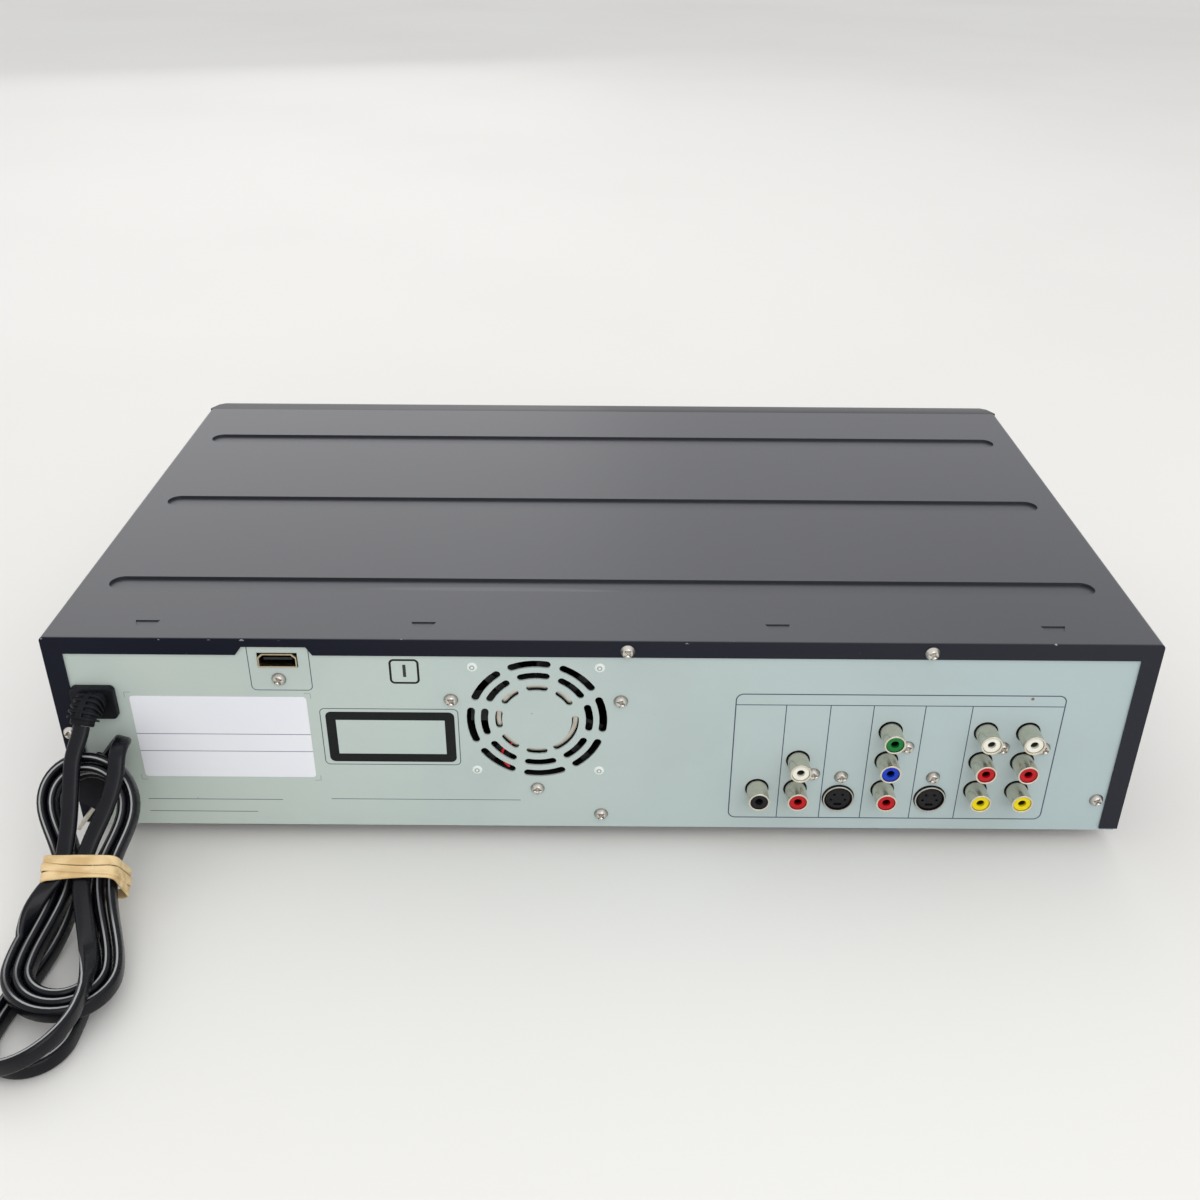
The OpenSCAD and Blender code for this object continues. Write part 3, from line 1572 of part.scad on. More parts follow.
// The lead comes out of the boot, lies flat over the hank and passes under the band into the first loop
boot_drop = boot_end - hank_top;
boot_s = boot_drop[1] * cos(hank_lean) - boot_drop[2] * sin(hank_lean);
boot_w = boot_drop[1] * sin(hank_lean) + boot_drop[2] * cos(hank_lean);
boot_v = boot_drop[0] - hank_drift * boot_s / hank_len;
loop_start = hank_place(first_t);
lead_keys = [[boot_s, boot_v, boot_w, 90], [boot_s + 4, boot_v + 0.9, boot_w, 90], [2, 3.6, flat_w, 90],
    [16, 4.4, flat_w, 90], [32, 5.4, flat_w, 90], [waist_s, 7, flat_w, 90], [56, 11.5, flat_w + 0.2, 78],
    [64, 15.3, flat_w - 1, 45], [71, 17.6, layer_step / 2 + 1.6, 10],
    [loop_start[0] - 3.4, loop_start[1] - 0.5, layer_step / 2, 0], loop_start];

// A smooth curve through the keys
function through(k, i, f) =
    let (a = k[max(0, i - 1)], b = k[i], c = k[i + 1], d = k[min(len(k) - 1, i + 2)])
    ((2 * b) + (c - a) * f + (2 * a - 5 * b + 4 * c - d) * f * f + (3 * b - a - 3 * c + d) * f * f * f) / 2;

lead_places = concat([for (i = [0:len(lead_keys) - 2], f = [0, 0.5]) through(lead_keys, i, f)],
    [loop_start]);
lead_points = [for (p = lead_places) placed(p)];
lead_last = len(lead_points) - 1;
lead_rings = [for (i = [0:lead_last])
    ring(lead_points[i], i == 0 ? boot_way : i == lead_last ? hank_ways[0]
        : unit(lead_points[i + 1] - lead_points[i - 1]), wide_at(lead_places[i]), cord_outline)];

module cord_lead() {
    color([0.06, 0.06, 0.07])
        swept(lead_rings);
}

band_w = 8;
band_t = 1.2;
band_r = 2.5;
band_v = [-14.1, 12.6];
band_h = [-layer_step / 2 - cord_w / 2 - 0.4, flat_w + cord_t / 2 + 0.9];

module cord_tie() {
    size = [band_v[1] - band_v[0], band_h[1] - band_h[0]];
    color([0.85, 0.7, 0.45])
        translate(hank_point(waist_s, 0, 0))
            rotate([-90 - hank_slope(waist_s), 0, 0])
                translate([(band_v[0] + band_v[1]) / 2, -(band_h[0] + band_h[1]) / 2, -band_w / 2])
                    linear_extrude(band_w)
                        difference() {
                            rounded(size + [2 * band_t, 2 * band_t], band_r + band_t);
                            rounded(size, band_r);
                        }
}

module mains_plug() {
    relief_l = 6;
    body_l = 16;
    body_t = 8.8;
    blade_l = 15.9;
    face = relief_l + body_l;
    color([0.08, 0.08, 0.08])
        translate(plug_at)
            rotate([0, -plug_lean, 0]) {
                block([-4.6, -2.7, -relief_l - eps], [4.6, 2.7, 0]);
                for (i = [0:2])
                    block([-5.4, -3.3, -1.6 - i * 1.8], [5.4, 3.3, -0.8 - i * 1.8]);
                upright(-body_t / 2, body_t)
                    polygon([[-5, -relief_l], [-8, -relief_l - 6], [-8, -face], [8, -face],
                        [8, -relief_l - 6], [5, -relief_l]]);
                for (i = [-1, 1])
                    difference() {
                        block([i * 6.35 - 0.75, -3.2, -face - blade_l], [i * 6.35 + 0.75, 3.2, -face + 2]);
                        bar_x(i * 6.35 - 2, 0, -face - blade_l + 4, 1.5, 4);
                    }
            }
}

// ---- The pieces ----

bottom_chassis();
top_cover();
rear_panel();
front_bezel();
display_window();
feet();
cover_screws();
panel_screws();
fan_bracket();
fan_frame();
fan_rotor();
hdmi_socket();
jack_barrels();
jack_blocks();
jack_inserts_white();
jack_inserts_red();
jack_inserts_yellow();
jack_insert_green();
jack_insert_blue();
svideo_sockets();
main_board();
power_board();
transformer();
heat_sink();
front_board();
front_jacks();
deck_chassis();
lower_drum();
head_drum();
capstan();
supply_reel();
takeup_reel();
pinch_arm();
tape_guides();
holder_carriage();
cassette_holder();
cassette_door();
drive_base();
disc_tray();
tray_fascia();
tray_gear();
clamp_bridge();
disc_clamper();
traverse_frame();
disc_turntable();
optical_pickup();
lead_screw();
power_button();
stop_eject_button();
rewind_button();
play_button();
forward_button();
disc_open_button();
disc_play_button();
disc_stop_button();
cord_gland();
cord_lead();
cord_hank();
cord_tie();
mains_plug();
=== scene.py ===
import json
import math

import bmesh
import bpy
from mathutils import Matrix, Vector

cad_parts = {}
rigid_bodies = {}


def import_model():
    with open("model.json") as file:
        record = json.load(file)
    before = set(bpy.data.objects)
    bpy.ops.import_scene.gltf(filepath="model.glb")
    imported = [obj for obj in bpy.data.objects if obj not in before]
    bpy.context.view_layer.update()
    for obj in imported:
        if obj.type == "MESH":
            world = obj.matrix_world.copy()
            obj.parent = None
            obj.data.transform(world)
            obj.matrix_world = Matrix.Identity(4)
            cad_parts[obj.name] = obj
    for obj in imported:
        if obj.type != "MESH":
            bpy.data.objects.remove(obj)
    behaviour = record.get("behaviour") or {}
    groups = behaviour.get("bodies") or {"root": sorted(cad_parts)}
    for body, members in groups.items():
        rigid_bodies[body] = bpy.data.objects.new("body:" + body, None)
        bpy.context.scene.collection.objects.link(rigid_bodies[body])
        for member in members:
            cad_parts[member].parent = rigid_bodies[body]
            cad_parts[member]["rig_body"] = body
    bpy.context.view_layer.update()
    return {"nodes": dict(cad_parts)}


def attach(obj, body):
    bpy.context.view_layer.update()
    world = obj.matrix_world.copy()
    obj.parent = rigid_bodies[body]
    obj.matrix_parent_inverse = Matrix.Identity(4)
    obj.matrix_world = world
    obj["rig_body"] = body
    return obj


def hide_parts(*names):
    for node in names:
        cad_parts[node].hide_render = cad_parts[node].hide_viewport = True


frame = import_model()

# ---- Camera ----
# The view from behind the case, raised about 30 degrees. The camera was solved from the case's corners,
# so its place is in millimetres from the middle of the case's footprint.
MM = 0.001
photo_width = 1200
camera_at = Vector((0.886, 538.484, 351.89)) * MM
camera_pitch = 0.517048
camera_roll = 0.0069727
camera_focal_pixels = 1251.94

bpy.ops.object.camera_add(location=camera_at)
camera = bpy.context.object
looking_forward = Matrix(((-1, 0, 0), (0, 0, 1), (0, 1, 0)))
camera_turn = Matrix.Rotation(camera_pitch, 3, "X") @ looking_forward @ Matrix.Rotation(camera_roll, 3, "Z")
camera.rotation_euler = camera_turn.to_euler()
camera.data.sensor_width = 36
camera.data.lens = camera_focal_pixels / photo_width * camera.data.sensor_width
camera.data.clip_start = 0.02
camera.data.clip_end = 50
bpy.context.scene.camera = camera
bpy.context.scene.view_settings.view_transform = "Standard"

# ---- Bench and light ----
# A pale bench top under a white surround. Three soft lamps stand round it: behind the camera, over the front
# of the case, and low beyond it. None of this is part of the object.


class Value:
    """One number, colour or vector in a finish. Python's operators on numbers add the Math nodes."""

    def __init__(self, finish, socket):
        self.finish = finish
        self.socket = socket

    def math(self, operation, *others):
        return self.finish.add("ShaderNodeMath", {"operation": operation}, dict(enumerate((self, *others))))

    def __add__(self, other):
        return self.math("ADD", other)

    def __sub__(self, other):
        return self.math("SUBTRACT", other)

    def __rsub__(self, other):
        return self.finish.add("ShaderNodeMath", {"operation": "SUBTRACT"}, {0: other, 1: self})

    def __mul__(self, other):
        return self.math("MULTIPLY", other)

    def __pow__(self, other):
        return self.math("POWER", other)

    def __abs__(self):
        return self.math("ABSOLUTE")

    def __gt__(self, other):
        return self.math("GREATER_THAN", other)

    def __lt__(self, other):
        return self.math("LESS_THAN", other)

    __radd__ = __add__

    def lower_of(self, other):
        return self.math("MINIMUM", other)

    def higher_of(self, other):
        return self.math("MAXIMUM", other)

    def rising(self, start, end):
        """0 up to start, 1 from end, smooth between. Where end is below start, it falls instead."""
        if end < start:
            return 1 - self.rising(end, start)
        return self.finish.add("ShaderNodeMapRange", {"interpolation_type": "SMOOTHSTEP"},
                               {"Value": self, "From Min": start, "From Max": end})


class Finish:
    """A procedural material round one Principled shader. Patterns read the piece's own coordinates."""

    def __init__(self, name, constants):
        self.material = bpy.data.materials.new(name)
        self.material.use_nodes = True
        self.tree = self.material.node_tree
        self.shader = next(n for n in self.tree.nodes if n.type == "BSDF_PRINCIPLED")
        self.place = self.add("ShaderNodeTexCoord", {}, {}, "Object")
        for socket, value in constants.items():
            self.feed(socket, value)

    def add(self, kind, settings, sockets, output=0):
        """A node of that type: its settings first, then the values or links of its sockets."""
        node = self.tree.nodes.new(kind)
        for setting, value in settings.items():
            setattr(node, setting, value)
        for socket, value in sockets.items():
            self.join(node.inputs[socket], value)
        return Value(self, node.outputs[output])

    def join(self, socket, value):
        if isinstance(value, Value):
            self.tree.links.new(value.socket, socket)
        else:
            socket.default_value = value

    def feed(self, socket, value):
        self.join(self.shader.inputs[socket], value)

    def axes(self):
        split = self.add("ShaderNodeSeparateXYZ", {}, {"Vector": self.place})
        return [Value(self, split.socket.node.outputs[i]) for i in range(3)]

    def stretched(self, scale, turn=(0, 0, 0)):
        return self.add("ShaderNodeMapping", {}, {"Vector": self.place, "Scale": scale, "Rotation": turn})

    def noise(self, scale, detail=2, where=None):
        return self.add("ShaderNodeTexNoise", {},
                        {"Vector": where or self.place, "Scale": scale, "Detail": detail})

    def cells(self, scale, where=None):
        return self.add("ShaderNodeTexVoronoi", {}, {"Vector": where or self.place, "Scale": scale})

    def mixed(self, share, first, second):
        """The first colour where share is 0, the second where it is 1, each as it is seen on a screen."""
        first, second = [c if isinstance(c, Value) else seen(*c) for c in (first, second)]
        return self.add("ShaderNodeMix", {"data_type": "RGBA"}, {0: share, 6: first, 7: second}, 2)

    def coloured(self, share, first, second):
        self.feed("Base Color", self.mixed(share, first, second))

    def rough(self, roughness):
        self.feed("Roughness", roughness)

    def bumpy(self, height, depth, strength):
        """Raises the surface where height is 1; depth is in metres."""
        sockets = {"Height": height, "Distance": depth, "Strength": strength}
        self.feed("Normal", self.add("ShaderNodeBump", {}, sockets, "Normal"))

    def grainy(self, scale, depth, strength):
        """Fine random bumps over the whole surface."""
        self.bumpy(self.noise(scale), depth, strength)


def seen(red, green, blue):
    """A colour as it is seen on a screen, each part from 0 to 255, as Blender's own linear colour."""
    parts = [c / 255 for c in (red, green, blue)]
    return (*[c / 12.92 if c <= 0.04045 else ((c + 0.055) / 1.055) ** 2.4 for c in parts], 1)


bpy.ops.mesh.primitive_plane_add(size=12)
floor = bpy.context.object
floor.name = "bench_top"
bench = Finish("bench_white", {"Roughness": 0.55, "Specular IOR Level": 0.25})
bench_marks = bench.noise(1.4, 3).rising(0.35, 0.75)
bench.coloured(bench_marks, (234, 233, 230), (231, 229, 226))
floor.data.materials.append(bench.material)

world = bpy.data.worlds.new("white_surround")
bpy.context.scene.world = world
world.use_nodes = True
sky = world.node_tree
sky_path = sky.nodes.new("ShaderNodeLightPath")
sky_shown = sky_path.outputs["Is Camera Ray"]
for ray in ("Is Glossy Ray", "Is Transmission Ray"):
    either = sky.nodes.new("ShaderNodeMath")
    either.operation = "MAXIMUM"
    sky.links.new(sky_shown, either.inputs[0])
    sky.links.new(sky_path.outputs[ray], either.inputs[1])
    sky_shown = either.outputs[0]
sky_mix = sky.nodes.new("ShaderNodeMixShader")
sky.links.new(sky_shown, sky_mix.inputs[0])
SKY_LIGHT = 0.78
for i, (colour, strength) in enumerate((((1, 1, 1, 1), SKY_LIGHT), (seen(240, 240, 243), 1.0))):
    background = sky.nodes.new("ShaderNodeBackground")
    background.inputs["Color"].default_value = colour
    background.inputs["Strength"].default_value = strength
    sky.links.new(background.outputs[0], sky_mix.inputs[i + 1])
sky.links.new(sky_mix.outputs[0], next(n for n in sky.nodes if n.type == "OUTPUT_WORLD").inputs["Surface"])


def soft_lamp(name, at, towards, side, watts):
    bpy.ops.object.light_add(type="AREA", location=at)
    lamp = bpy.context.object
    lamp.name = name
    lamp.rotation_euler = (Vector(towards) - Vector(at)).to_track_quat("-Z", "Y").to_euler()
    lamp.data.shape = "SQUARE"
    lamp.data.size = side
    lamp.data.energy = watts


soft_lamp("lamp_behind_camera", (-0.5, 1.5, 1.3), (0, 0.1, 0.05), 1.6, 13)
soft_lamp("lamp_over_front", (0.2, -0.9, 1.8), (0, 0, 0.05), 2.0, 8)
soft_lamp("lamp_beyond_front", (0.7, -2.2, 0.95), (0, 0, 0.1), 1.5, 3.2)

# ---- Mains cord ----
# Flat twin flex of black vinyl: two ribbed cores side by side, with a pale stripe along one edge. It leaves
# the boot, lies over the hank, runs under the band and winds round the hank's loops to the plug behind them.
CASE_W, CASE_DEPTH, BEZEL_DEPTH = 435, 243.75, 18
BUTTON_PROUD, BARREL_L, PANEL_RECESS = 0.8, 9.5, 0.9
HALF_W = CASE_W / 2
REAR_Y = (CASE_DEPTH + BEZEL_DEPTH + BUTTON_PROUD + BARREL_L - PANEL_RECESS) / 2 - BARREL_L + PANEL_RECESS
PANEL_Y = REAR_Y - PANEL_RECESS
CORD_W, CORD_T = 6.6, 3.4
HANK_TOP = Vector((HALF_W - 15.5, REAR_Y + 12, 51.5))
HANK_LEAN = math.radians(50)
HANK_STRAIGHT, HANK_LEN, HANK_DRIFT = 20, 135, -11
HANK_STEP, HANK_R = 4.1, 21.5
LAYER_GAP, FLOOR_GAP = 0.6, 0.3
LAYER_STEP = CORD_W + LAYER_GAP
hank_low = (CORD_W + LAYER_STEP) / 2 + FLOOR_GAP
hank_arc_r = (HANK_TOP.z - hank_low - HANK_STRAIGHT * math.sin(HANK_LEAN)) / (1 - math.cos(HANK_LEAN))
hank_arc_l = hank_arc_r * HANK_LEAN
hank_foot = HANK_STRAIGHT + hank_arc_l
LOOP_POINTS = 96
FIRST_T, TURN_IN, TURN_OUT, LAST_FOLD = 5 / 24, 2.5, 2.75, 4.25
FOLD_S, WAIST_S, WAIST_HALF, WAIST_STEP, UPPER_SHORT = 18, 47, 14, HANK_STEP + 0.4, 24
SPREAD_S, SPREAD_UPPER, SPREAD_LOWER = 60, -4, 6
EDGE_W = 1.5 * LAYER_STEP
FLAT_W = LAYER_STEP / 2 + (CORD_W + CORD_T) / 2 + 0.5
CROSSING_V, CROSSING_END = -1.5, (2, -13.5)


def ease(f):
    f = min(max(f, 0), 1)
    return f * f * (3 - 2 * f)


def hank_slope(s):
    if s < HANK_STRAIGHT:
        return HANK_LEAN
    return max(0, HANK_LEAN * (hank_foot - s) / hank_arc_l)


def hank_normal(s):
    return Vector((0, math.sin(hank_slope(s)), math.cos(hank_slope(s))))


def hank_point(s, v, w):
    """A place in the hank, in millimetres: s along it, v across it, w out of its middle."""
    lean, slope = HANK_LEAN, hank_slope(s)
    if s < HANK_STRAIGHT:
        out, up = s * math.cos(lean), -s * math.sin(lean)
    else:
        out = HANK_STRAIGHT * math.cos(lean) + hank_arc_r * (math.sin(lean) - math.sin(slope))
        out += max(0, s - hank_foot)
        up = -HANK_STRAIGHT * math.sin(lean) - hank_arc_r * (math.cos(slope) - math.cos(lean))
    return HANK_TOP + Vector((HANK_DRIFT * s / HANK_LEN + v, out, up)) + w * hank_normal(s)


def turned_down(t):
    return ease((t - TURN_IN) / (TURN_OUT - TURN_IN))


def nest(t):
    """How many loops lie outside this one: the upper layer winds in, the lower one out again."""
    return t if t < TURN_IN else TURN_IN if t <= TURN_OUT else TURN_IN + TURN_OUT - t


def fold_r(t):
    return HANK_R - HANK_STEP * nest(t)


def low_fold(t):
    return HANK_LEN - HANK_R - UPPER_SHORT * (1 - turned_down(t))


def run_v(s, t):
    waist_v = WAIST_HALF - WAIST_STEP * nest(t)
    if s < WAIST_S:
        drawn_out = ease((WAIST_S - s) / (WAIST_S - FOLD_S))
    else:
        drawn_out = ease((s - WAIST_S) / (low_fold(t) - WAIST_S))
    return waist_v + (fold_r(t) - waist_v) * drawn_out


def loop_at(t):
    """Along and across the hank after t loops: down, round, up and round."""
    quarter = (t - math.floor(t)) * 4
    f = quarter - math.floor(quarter)
    r, low = fold_r(t), low_fold(t)
    if quarter < 1:
        down = FOLD_S + f * (low - FOLD_S)
        return down, run_v(down, t)
    if quarter < 2:
        return low + r * math.sin(math.pi * f), r * math.cos(math.pi * f)
    if quarter < 3:
        up = low - f * (low - FOLD_S)
        return up, -run_v(up, t)
    return FOLD_S - r * math.sin(math.pi * f), -r * math.cos(math.pi * f)


def crossing_at(f):
    """The last run lies flat over the loops, from the lower fold to the upper corner."""
    low, side = low_fold(4.5), fold_r(4.5)
    s = low + f * (CROSSING_END[0] - low)
    below = (side + CROSSING_V) * ease((s - WAIST_S) / (low - WAIST_S))
    above = (CROSSING_V - CROSSING_END[1]) * ease((WAIST_S - s) / (WAIST_S - CROSSING_END[0]))
    return s, CROSSING_V - below - above


def hank_place(t):
    """Along, across, out and the twist of the cord from standing to flat, in radians."""
    f = (t - 4.5) * 4
    s, v = loop_at(t) if f <= 0 else crossing_at(f)
    spread = SPREAD_UPPER + (SPREAD_LOWER - SPREAD_UPPER) * turned_down(t)
    spread *= ease((s - SPREAD_S) / (HANK_LEN - SPREAD_S))
    level = LAYER_STEP * (0.5 - turned_down(t)) + (EDGE_W + LAYER_STEP / 2) * ease((t - LAST_FOLD) * 4)
    out = level if f <= 0 else EDGE_W + (FLAT_W - EDGE_W) * ease(f / 0.3)
    return s, v + spread, out, math.pi / 2 * ease((f - 0.05) / 0.3)


def wide_at(place):
    return hank_normal(place[0]) * math.cos(place[3]) + Vector((1, 0, 0)) * math.sin(place[3])


# The boot's end, where the lead starts
GLAND_AT = Vector((HALF_W - 16.5, PANEL_Y, 70.1))
BOOT_R, BOOT_TURN, BOOT_END_L = 10, math.radians(12), 3
GLAND_T, BOOT_UP = 3, 1.9
boot_at = GLAND_AT + Vector((0, GLAND_T, BOOT_UP))
boot_out = BOOT_R * math.sin(HANK_LEAN) + BOOT_END_L * math.cos(HANK_LEAN)
boot_end = boot_at + Vector((math.sin(BOOT_TURN) * boot_out, math.cos(BOOT_TURN) * boot_out,
                             -BOOT_R * (1 - math.cos(HANK_LEAN)) - BOOT_END_L * math.sin(HANK_LEAN)))
boot_drop = boot_end - HANK_TOP
boot_s = boot_drop.y * math.cos(HANK_LEAN) - boot_drop.z * math.sin(HANK_LEAN)
boot_w = boot_drop.y * math.sin(HANK_LEAN) + boot_drop.z * math.cos(HANK_LEAN)
boot_v = boot_drop.x - HANK_DRIFT * boot_s / HANK_LEN
loop_start = hank_place(FIRST_T)
flat = math.pi / 2
lead_keys = [
    (boot_s, boot_v, boot_w, flat), (boot_s + 4, boot_v + 0.9, boot_w, flat), (2, 3.6, FLAT_W, flat),
    (16, 4.4, FLAT_W, flat), (32, 5.4, FLAT_W, flat), (WAIST_S, 7, FLAT_W, flat),
    (56, 11.5, FLAT_W + 0.2, math.radians(78)), (64, 15.3, FLAT_W - 1, math.radians(45)),
    (71, 17.6, LAYER_STEP / 2 + 1.6, math.radians(10)),
    (loop_start[0] - 3.4, loop_start[1] - 0.5, LAYER_STEP / 2, 0), loop_start]


def through(keys, i, f):
    """A smooth curve through the keys, f of the way from the one numbered i."""
    places = [keys[max(0, i - 1)], keys[i], keys[i + 1], keys[min(len(keys) - 1, i + 2)]]
    return [(2 * b + (c - a) * f + (2 * a - 5 * b + 4 * c - d) * f ** 2
             + (3 * b - a - 3 * c + d) * f ** 3) / 2 for a, b, c, d in zip(*places)]


# The crossing run turns back over the top, down behind the hank and into the plug
PLUG_Y = REAR_Y + 4.7
PLUG_LEAN = math.radians(37)
plug_way = Vector((math.sin(PLUG_LEAN), 0, -math.cos(PLUG_LEAN)))
turn_from = hank_point(*CROSSING_END, FLAT_W)
turn_r = (turn_from.y - PLUG_Y) / (1 + math.sin(HANK_LEAN))
turn_centre = turn_from - Vector((0, turn_r * math.sin(HANK_LEAN), turn_r * math.cos(HANK_LEAN)))


def turn_at(angle):
    aside = 0 if angle < math.pi / 2 else turn_r * math.tan(PLUG_LEAN) * (1 - math.cos(angle - math.pi / 2))
    return turn_centre + Vector((aside, turn_r * math.cos(angle), turn_r * math.sin(angle)))


def turn_wide(angle):
    b = PLUG_LEAN * ease((math.degrees(angle) - 70) / 110)
    return Vector((math.cos(b), 0, math.sin(b)))


plug_run = (CORD_W + 0.5) * plug_way
plug_at = turn_at(math.pi) + plug_run
cord_line, cord_wides = [], []
for i in range(len(lead_keys) - 1):
    for f in (0, 0.25, 0.5, 0.75):
        place = through(lead_keys, i, f)
        cord_line.append(hank_point(*place[:3]))
        cord_wides.append(wide_at(place))
for i in range(int(FIRST_T * LOOP_POINTS), int(4.75 * LOOP_POINTS) + 1):
    place = hank_place(i / LOOP_POINTS)
    cord_line.append(hank_point(*place[:3]))
    cord_wides.append(wide_at(place))
TURN_STEPS = 16
for i in range(1, TURN_STEPS + 1):
    angle = math.pi / 2 - HANK_LEAN + i * (math.pi / 2 + HANK_LEAN) / TURN_STEPS
    cord_line.append(turn_at(angle))
    cord_wides.append(turn_wide(angle))
for share in (0.5, 1):
    cord_line.append(turn_at(math.pi) + share * plug_run)
    cord_wides.append(turn_wide(math.pi))

# Two cores of half the width, each a round rib, with a web a little thinner between them
CORE_R = CORD_T / 2
CORD_RING = 20


def cord_section():
    """Points round the cord's section, as out of its face and along its width."""
    points = []
    for k in range(CORD_RING):
        angle = 2 * math.pi * (k + 0.5) / CORD_RING
        side = 1 if math.cos(angle) > 0 else -1
        along = side * (CORD_W / 2 - CORE_R) + CORE_R * math.cos(angle)
        points.append((CORE_R * math.sin(angle) * (1 - 0.2 * (abs(along) < 0.9)), along))
    return points


def only(piece):
    """Selects one object alone and makes it the active one."""
    bpy.ops.object.select_all(action="DESELECT")
    piece.select_set(True)
    bpy.context.view_layer.objects.active = piece


def swept(name, line, wides, sections, endless=False):
    """A closed tube through a line of points in millimetres, with a map round and along it."""
    rings, lengths, gone = [], [], 0
    count, last = len(sections[0]), len(line) - 1
    for i, centre in enumerate(line):
        before, after = (i - 1, (i + 1) % len(line)) if endless else (max(i - 1, 0), min(i + 1, last))
        ahead = (line[after] - line[before]).normalized()
        wide = (wides[i] - wides[i].dot(ahead) * ahead).normalized()
        out = ahead.cross(wide)
        rings.append([(centre + out * p + wide * q) * MM for p, q in sections[i]])
        gone += (centre - line[i - 1]).length if i else 0
        lengths.append(gone)
    faces = [(i * count + j, i * count + (j + 1) % count,
              (i + 1) % len(rings) * count + (j + 1) % count, (i + 1) % len(rings) * count + j)
             for i in range(len(rings) if endless else last) for j in range(count)]
    if not endless:
        faces += [tuple(reversed(range(count))), tuple(range(last * count, last * count + count))]
    mesh = bpy.data.meshes.new(name)
    mesh.from_pydata([p for ring in rings for p in ring], [], faces)
    piece = bpy.data.objects.new(name, mesh)
    bpy.context.scene.collection.objects.link(piece)
    uv = mesh.uv_layers.new(name="round_and_along")
    for face in mesh.polygons:
        for loop in face.loop_indices:
            vertex = mesh.loops[loop].vertex_index
            j = vertex % count
            if j == 0 and any(mesh.loops[k].vertex_index % count == count - 1 for k in face.loop_indices):
                j = count
            uv.data[loop].uv = ((j + 0.5) / count, lengths[vertex // count] * MM)
    only(piece)
    bpy.ops.object.mode_set(mode="EDIT")
    bpy.ops.mesh.select_all(action="SELECT")
    bpy.ops.mesh.normals_make_consistent(inside=False)
    bpy.ops.object.mode_set(mode="OBJECT")
    bpy.ops.object.shade_smooth_by_angle(angle=math.radians(50))
    return piece


def fitted(piece, body, slot, finish, *nodes):
    """Paints a piece, sets it on a body of the frame and lets it stand for the frame's own nodes."""
    piece.data.materials.clear()
    piece.data.materials.append(finish.material)
    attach(piece, body)
    if nodes:
        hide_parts(*nodes)


flex = Finish("black_flex", {"Specular IOR Level": 0.22})
flex_map = flex.add("ShaderNodeUVMap", {"uv_map": "round_and_along"}, {})
flex_round = flex.add("ShaderNodeSeparateXYZ", {}, {"Vector": flex_map})
flex_edge = abs(abs(flex_round - 0.5) - 0.5)
flex_stripe = flex_edge.rising(0.036, 0.026) * flex.noise(22, 2).rising(0.3, 0.5)
flex_mottle = flex.noise(140, 3)
flex_black = flex.mixed(flex_mottle, (8, 9, 13), (20, 21, 27))
flex.coloured(flex_stripe, flex_black, (158, 160, 160))
flex.rough(0.2 + flex_mottle * 0.14)
flex.grainy(900, 0.00006, 0.5)

cord = swept("mains_cord", cord_line, cord_wides, [cord_section()] * len(cord_line))
fitted(cord, "case", "cord", flex, "cord_lead", "cord_hank")

# ---- Cord gland ----
# Black rubber moulded round the flex: a plate against the panel, a neck through it, and a boot that turns
# down with five ribs joined by a spine.


def settled(piece):
    """Puts a piece's place, turn and size into its mesh."""
    only(piece)
    bpy.ops.object.transform_apply(location=True, rotation=True, scale=True)
    return piece


def box_between(name, low, high):
    """A box between two corners, in millimetres."""
    low, high = Vector(low) * MM, Vector(high) * MM
    bpy.ops.object.select_all(action="DESELECT")
    bpy.ops.mesh.primitive_cube_add(size=1, location=(low + high) / 2)
    piece = bpy.context.object
    piece.name = name
    piece.scale = high - low
    return settled(piece)


def round_bar(name, start, end, radius, sides=32):
    """A round bar between two points, in millimetres."""
    start, end = Vector(start) * MM, Vector(end) * MM
    bpy.ops.object.select_all(action="DESELECT")
    bpy.ops.mesh.primitive_cylinder_add(vertices=sides, radius=radius * MM, depth=(end - start).length,
                                        location=(start + end) / 2)
    piece = bpy.context.object
    piece.name = name
    piece.rotation_euler = (end - start).to_track_quat("Z", "Y").to_euler()
    return settled(piece)


def worked(piece, kind, **settings):
    """Adds a modifier to a piece and applies it."""
    only(piece)
    modifier = piece.modifiers.new(kind.lower(), kind)
    for setting, value in settings.items():
        setattr(modifier, setting, value)
    bpy.ops.object.modifier_apply(modifier=modifier.name)


def edges_broken(piece, width, steps=2, angle=30):
    """Rounds a piece's sharp edges by a width in millimetres, less where no room is left, and smooths it."""
    worked(piece, "BEVEL", width=width * MM, segments=steps, limit_method="ANGLE",
           angle_limit=math.radians(angle), use_clamp_overlap=True)
    bpy.ops.object.shade_smooth_by_angle(angle=math.radians(38))
    worked(piece, "WEIGHTED_NORMAL", keep_sharp=True)
    return piece


def picked(piece, kind, wanted):
    """Opens a piece for editing, with only its wanted faces or edges selected."""
    only(piece)
    bpy.ops.object.mode_set(mode="EDIT")
    bpy.ops.mesh.select_mode(type=kind)
    bpy.ops.mesh.select_all(action="DESELECT")
    drawn = bmesh.from_edit_mesh(piece.data)
    for part in drawn.faces if kind == "FACE" else drawn.edges:
        part.select_set(wanted(part))
    bmesh.update_edit_mesh(piece.data)


def edges_rounded(piece, axis, width, steps=5):
    """Rounds only a box's edges that run along one axis, by a width in millimetres."""
    picked(piece, "EDGE", lambda edge: abs((edge.verts[1].co - edge.verts[0].co).normalized()[axis]) > 0.99)
    bpy.ops.mesh.bevel(offset=width * MM, segments=steps, affect="EDGES")
    bpy.ops.object.mode_set(mode="OBJECT")
    return piece


def as_one(name, *parts):
    """Joins several meshes into the first of them."""
    bpy.ops.object.select_all(action="DESELECT")
    for part in parts:
        part.select_set(True)
    bpy.context.view_layer.objects.active = parts[0]
    bpy.ops.object.join()
    parts[0].name = name
    return parts[0]


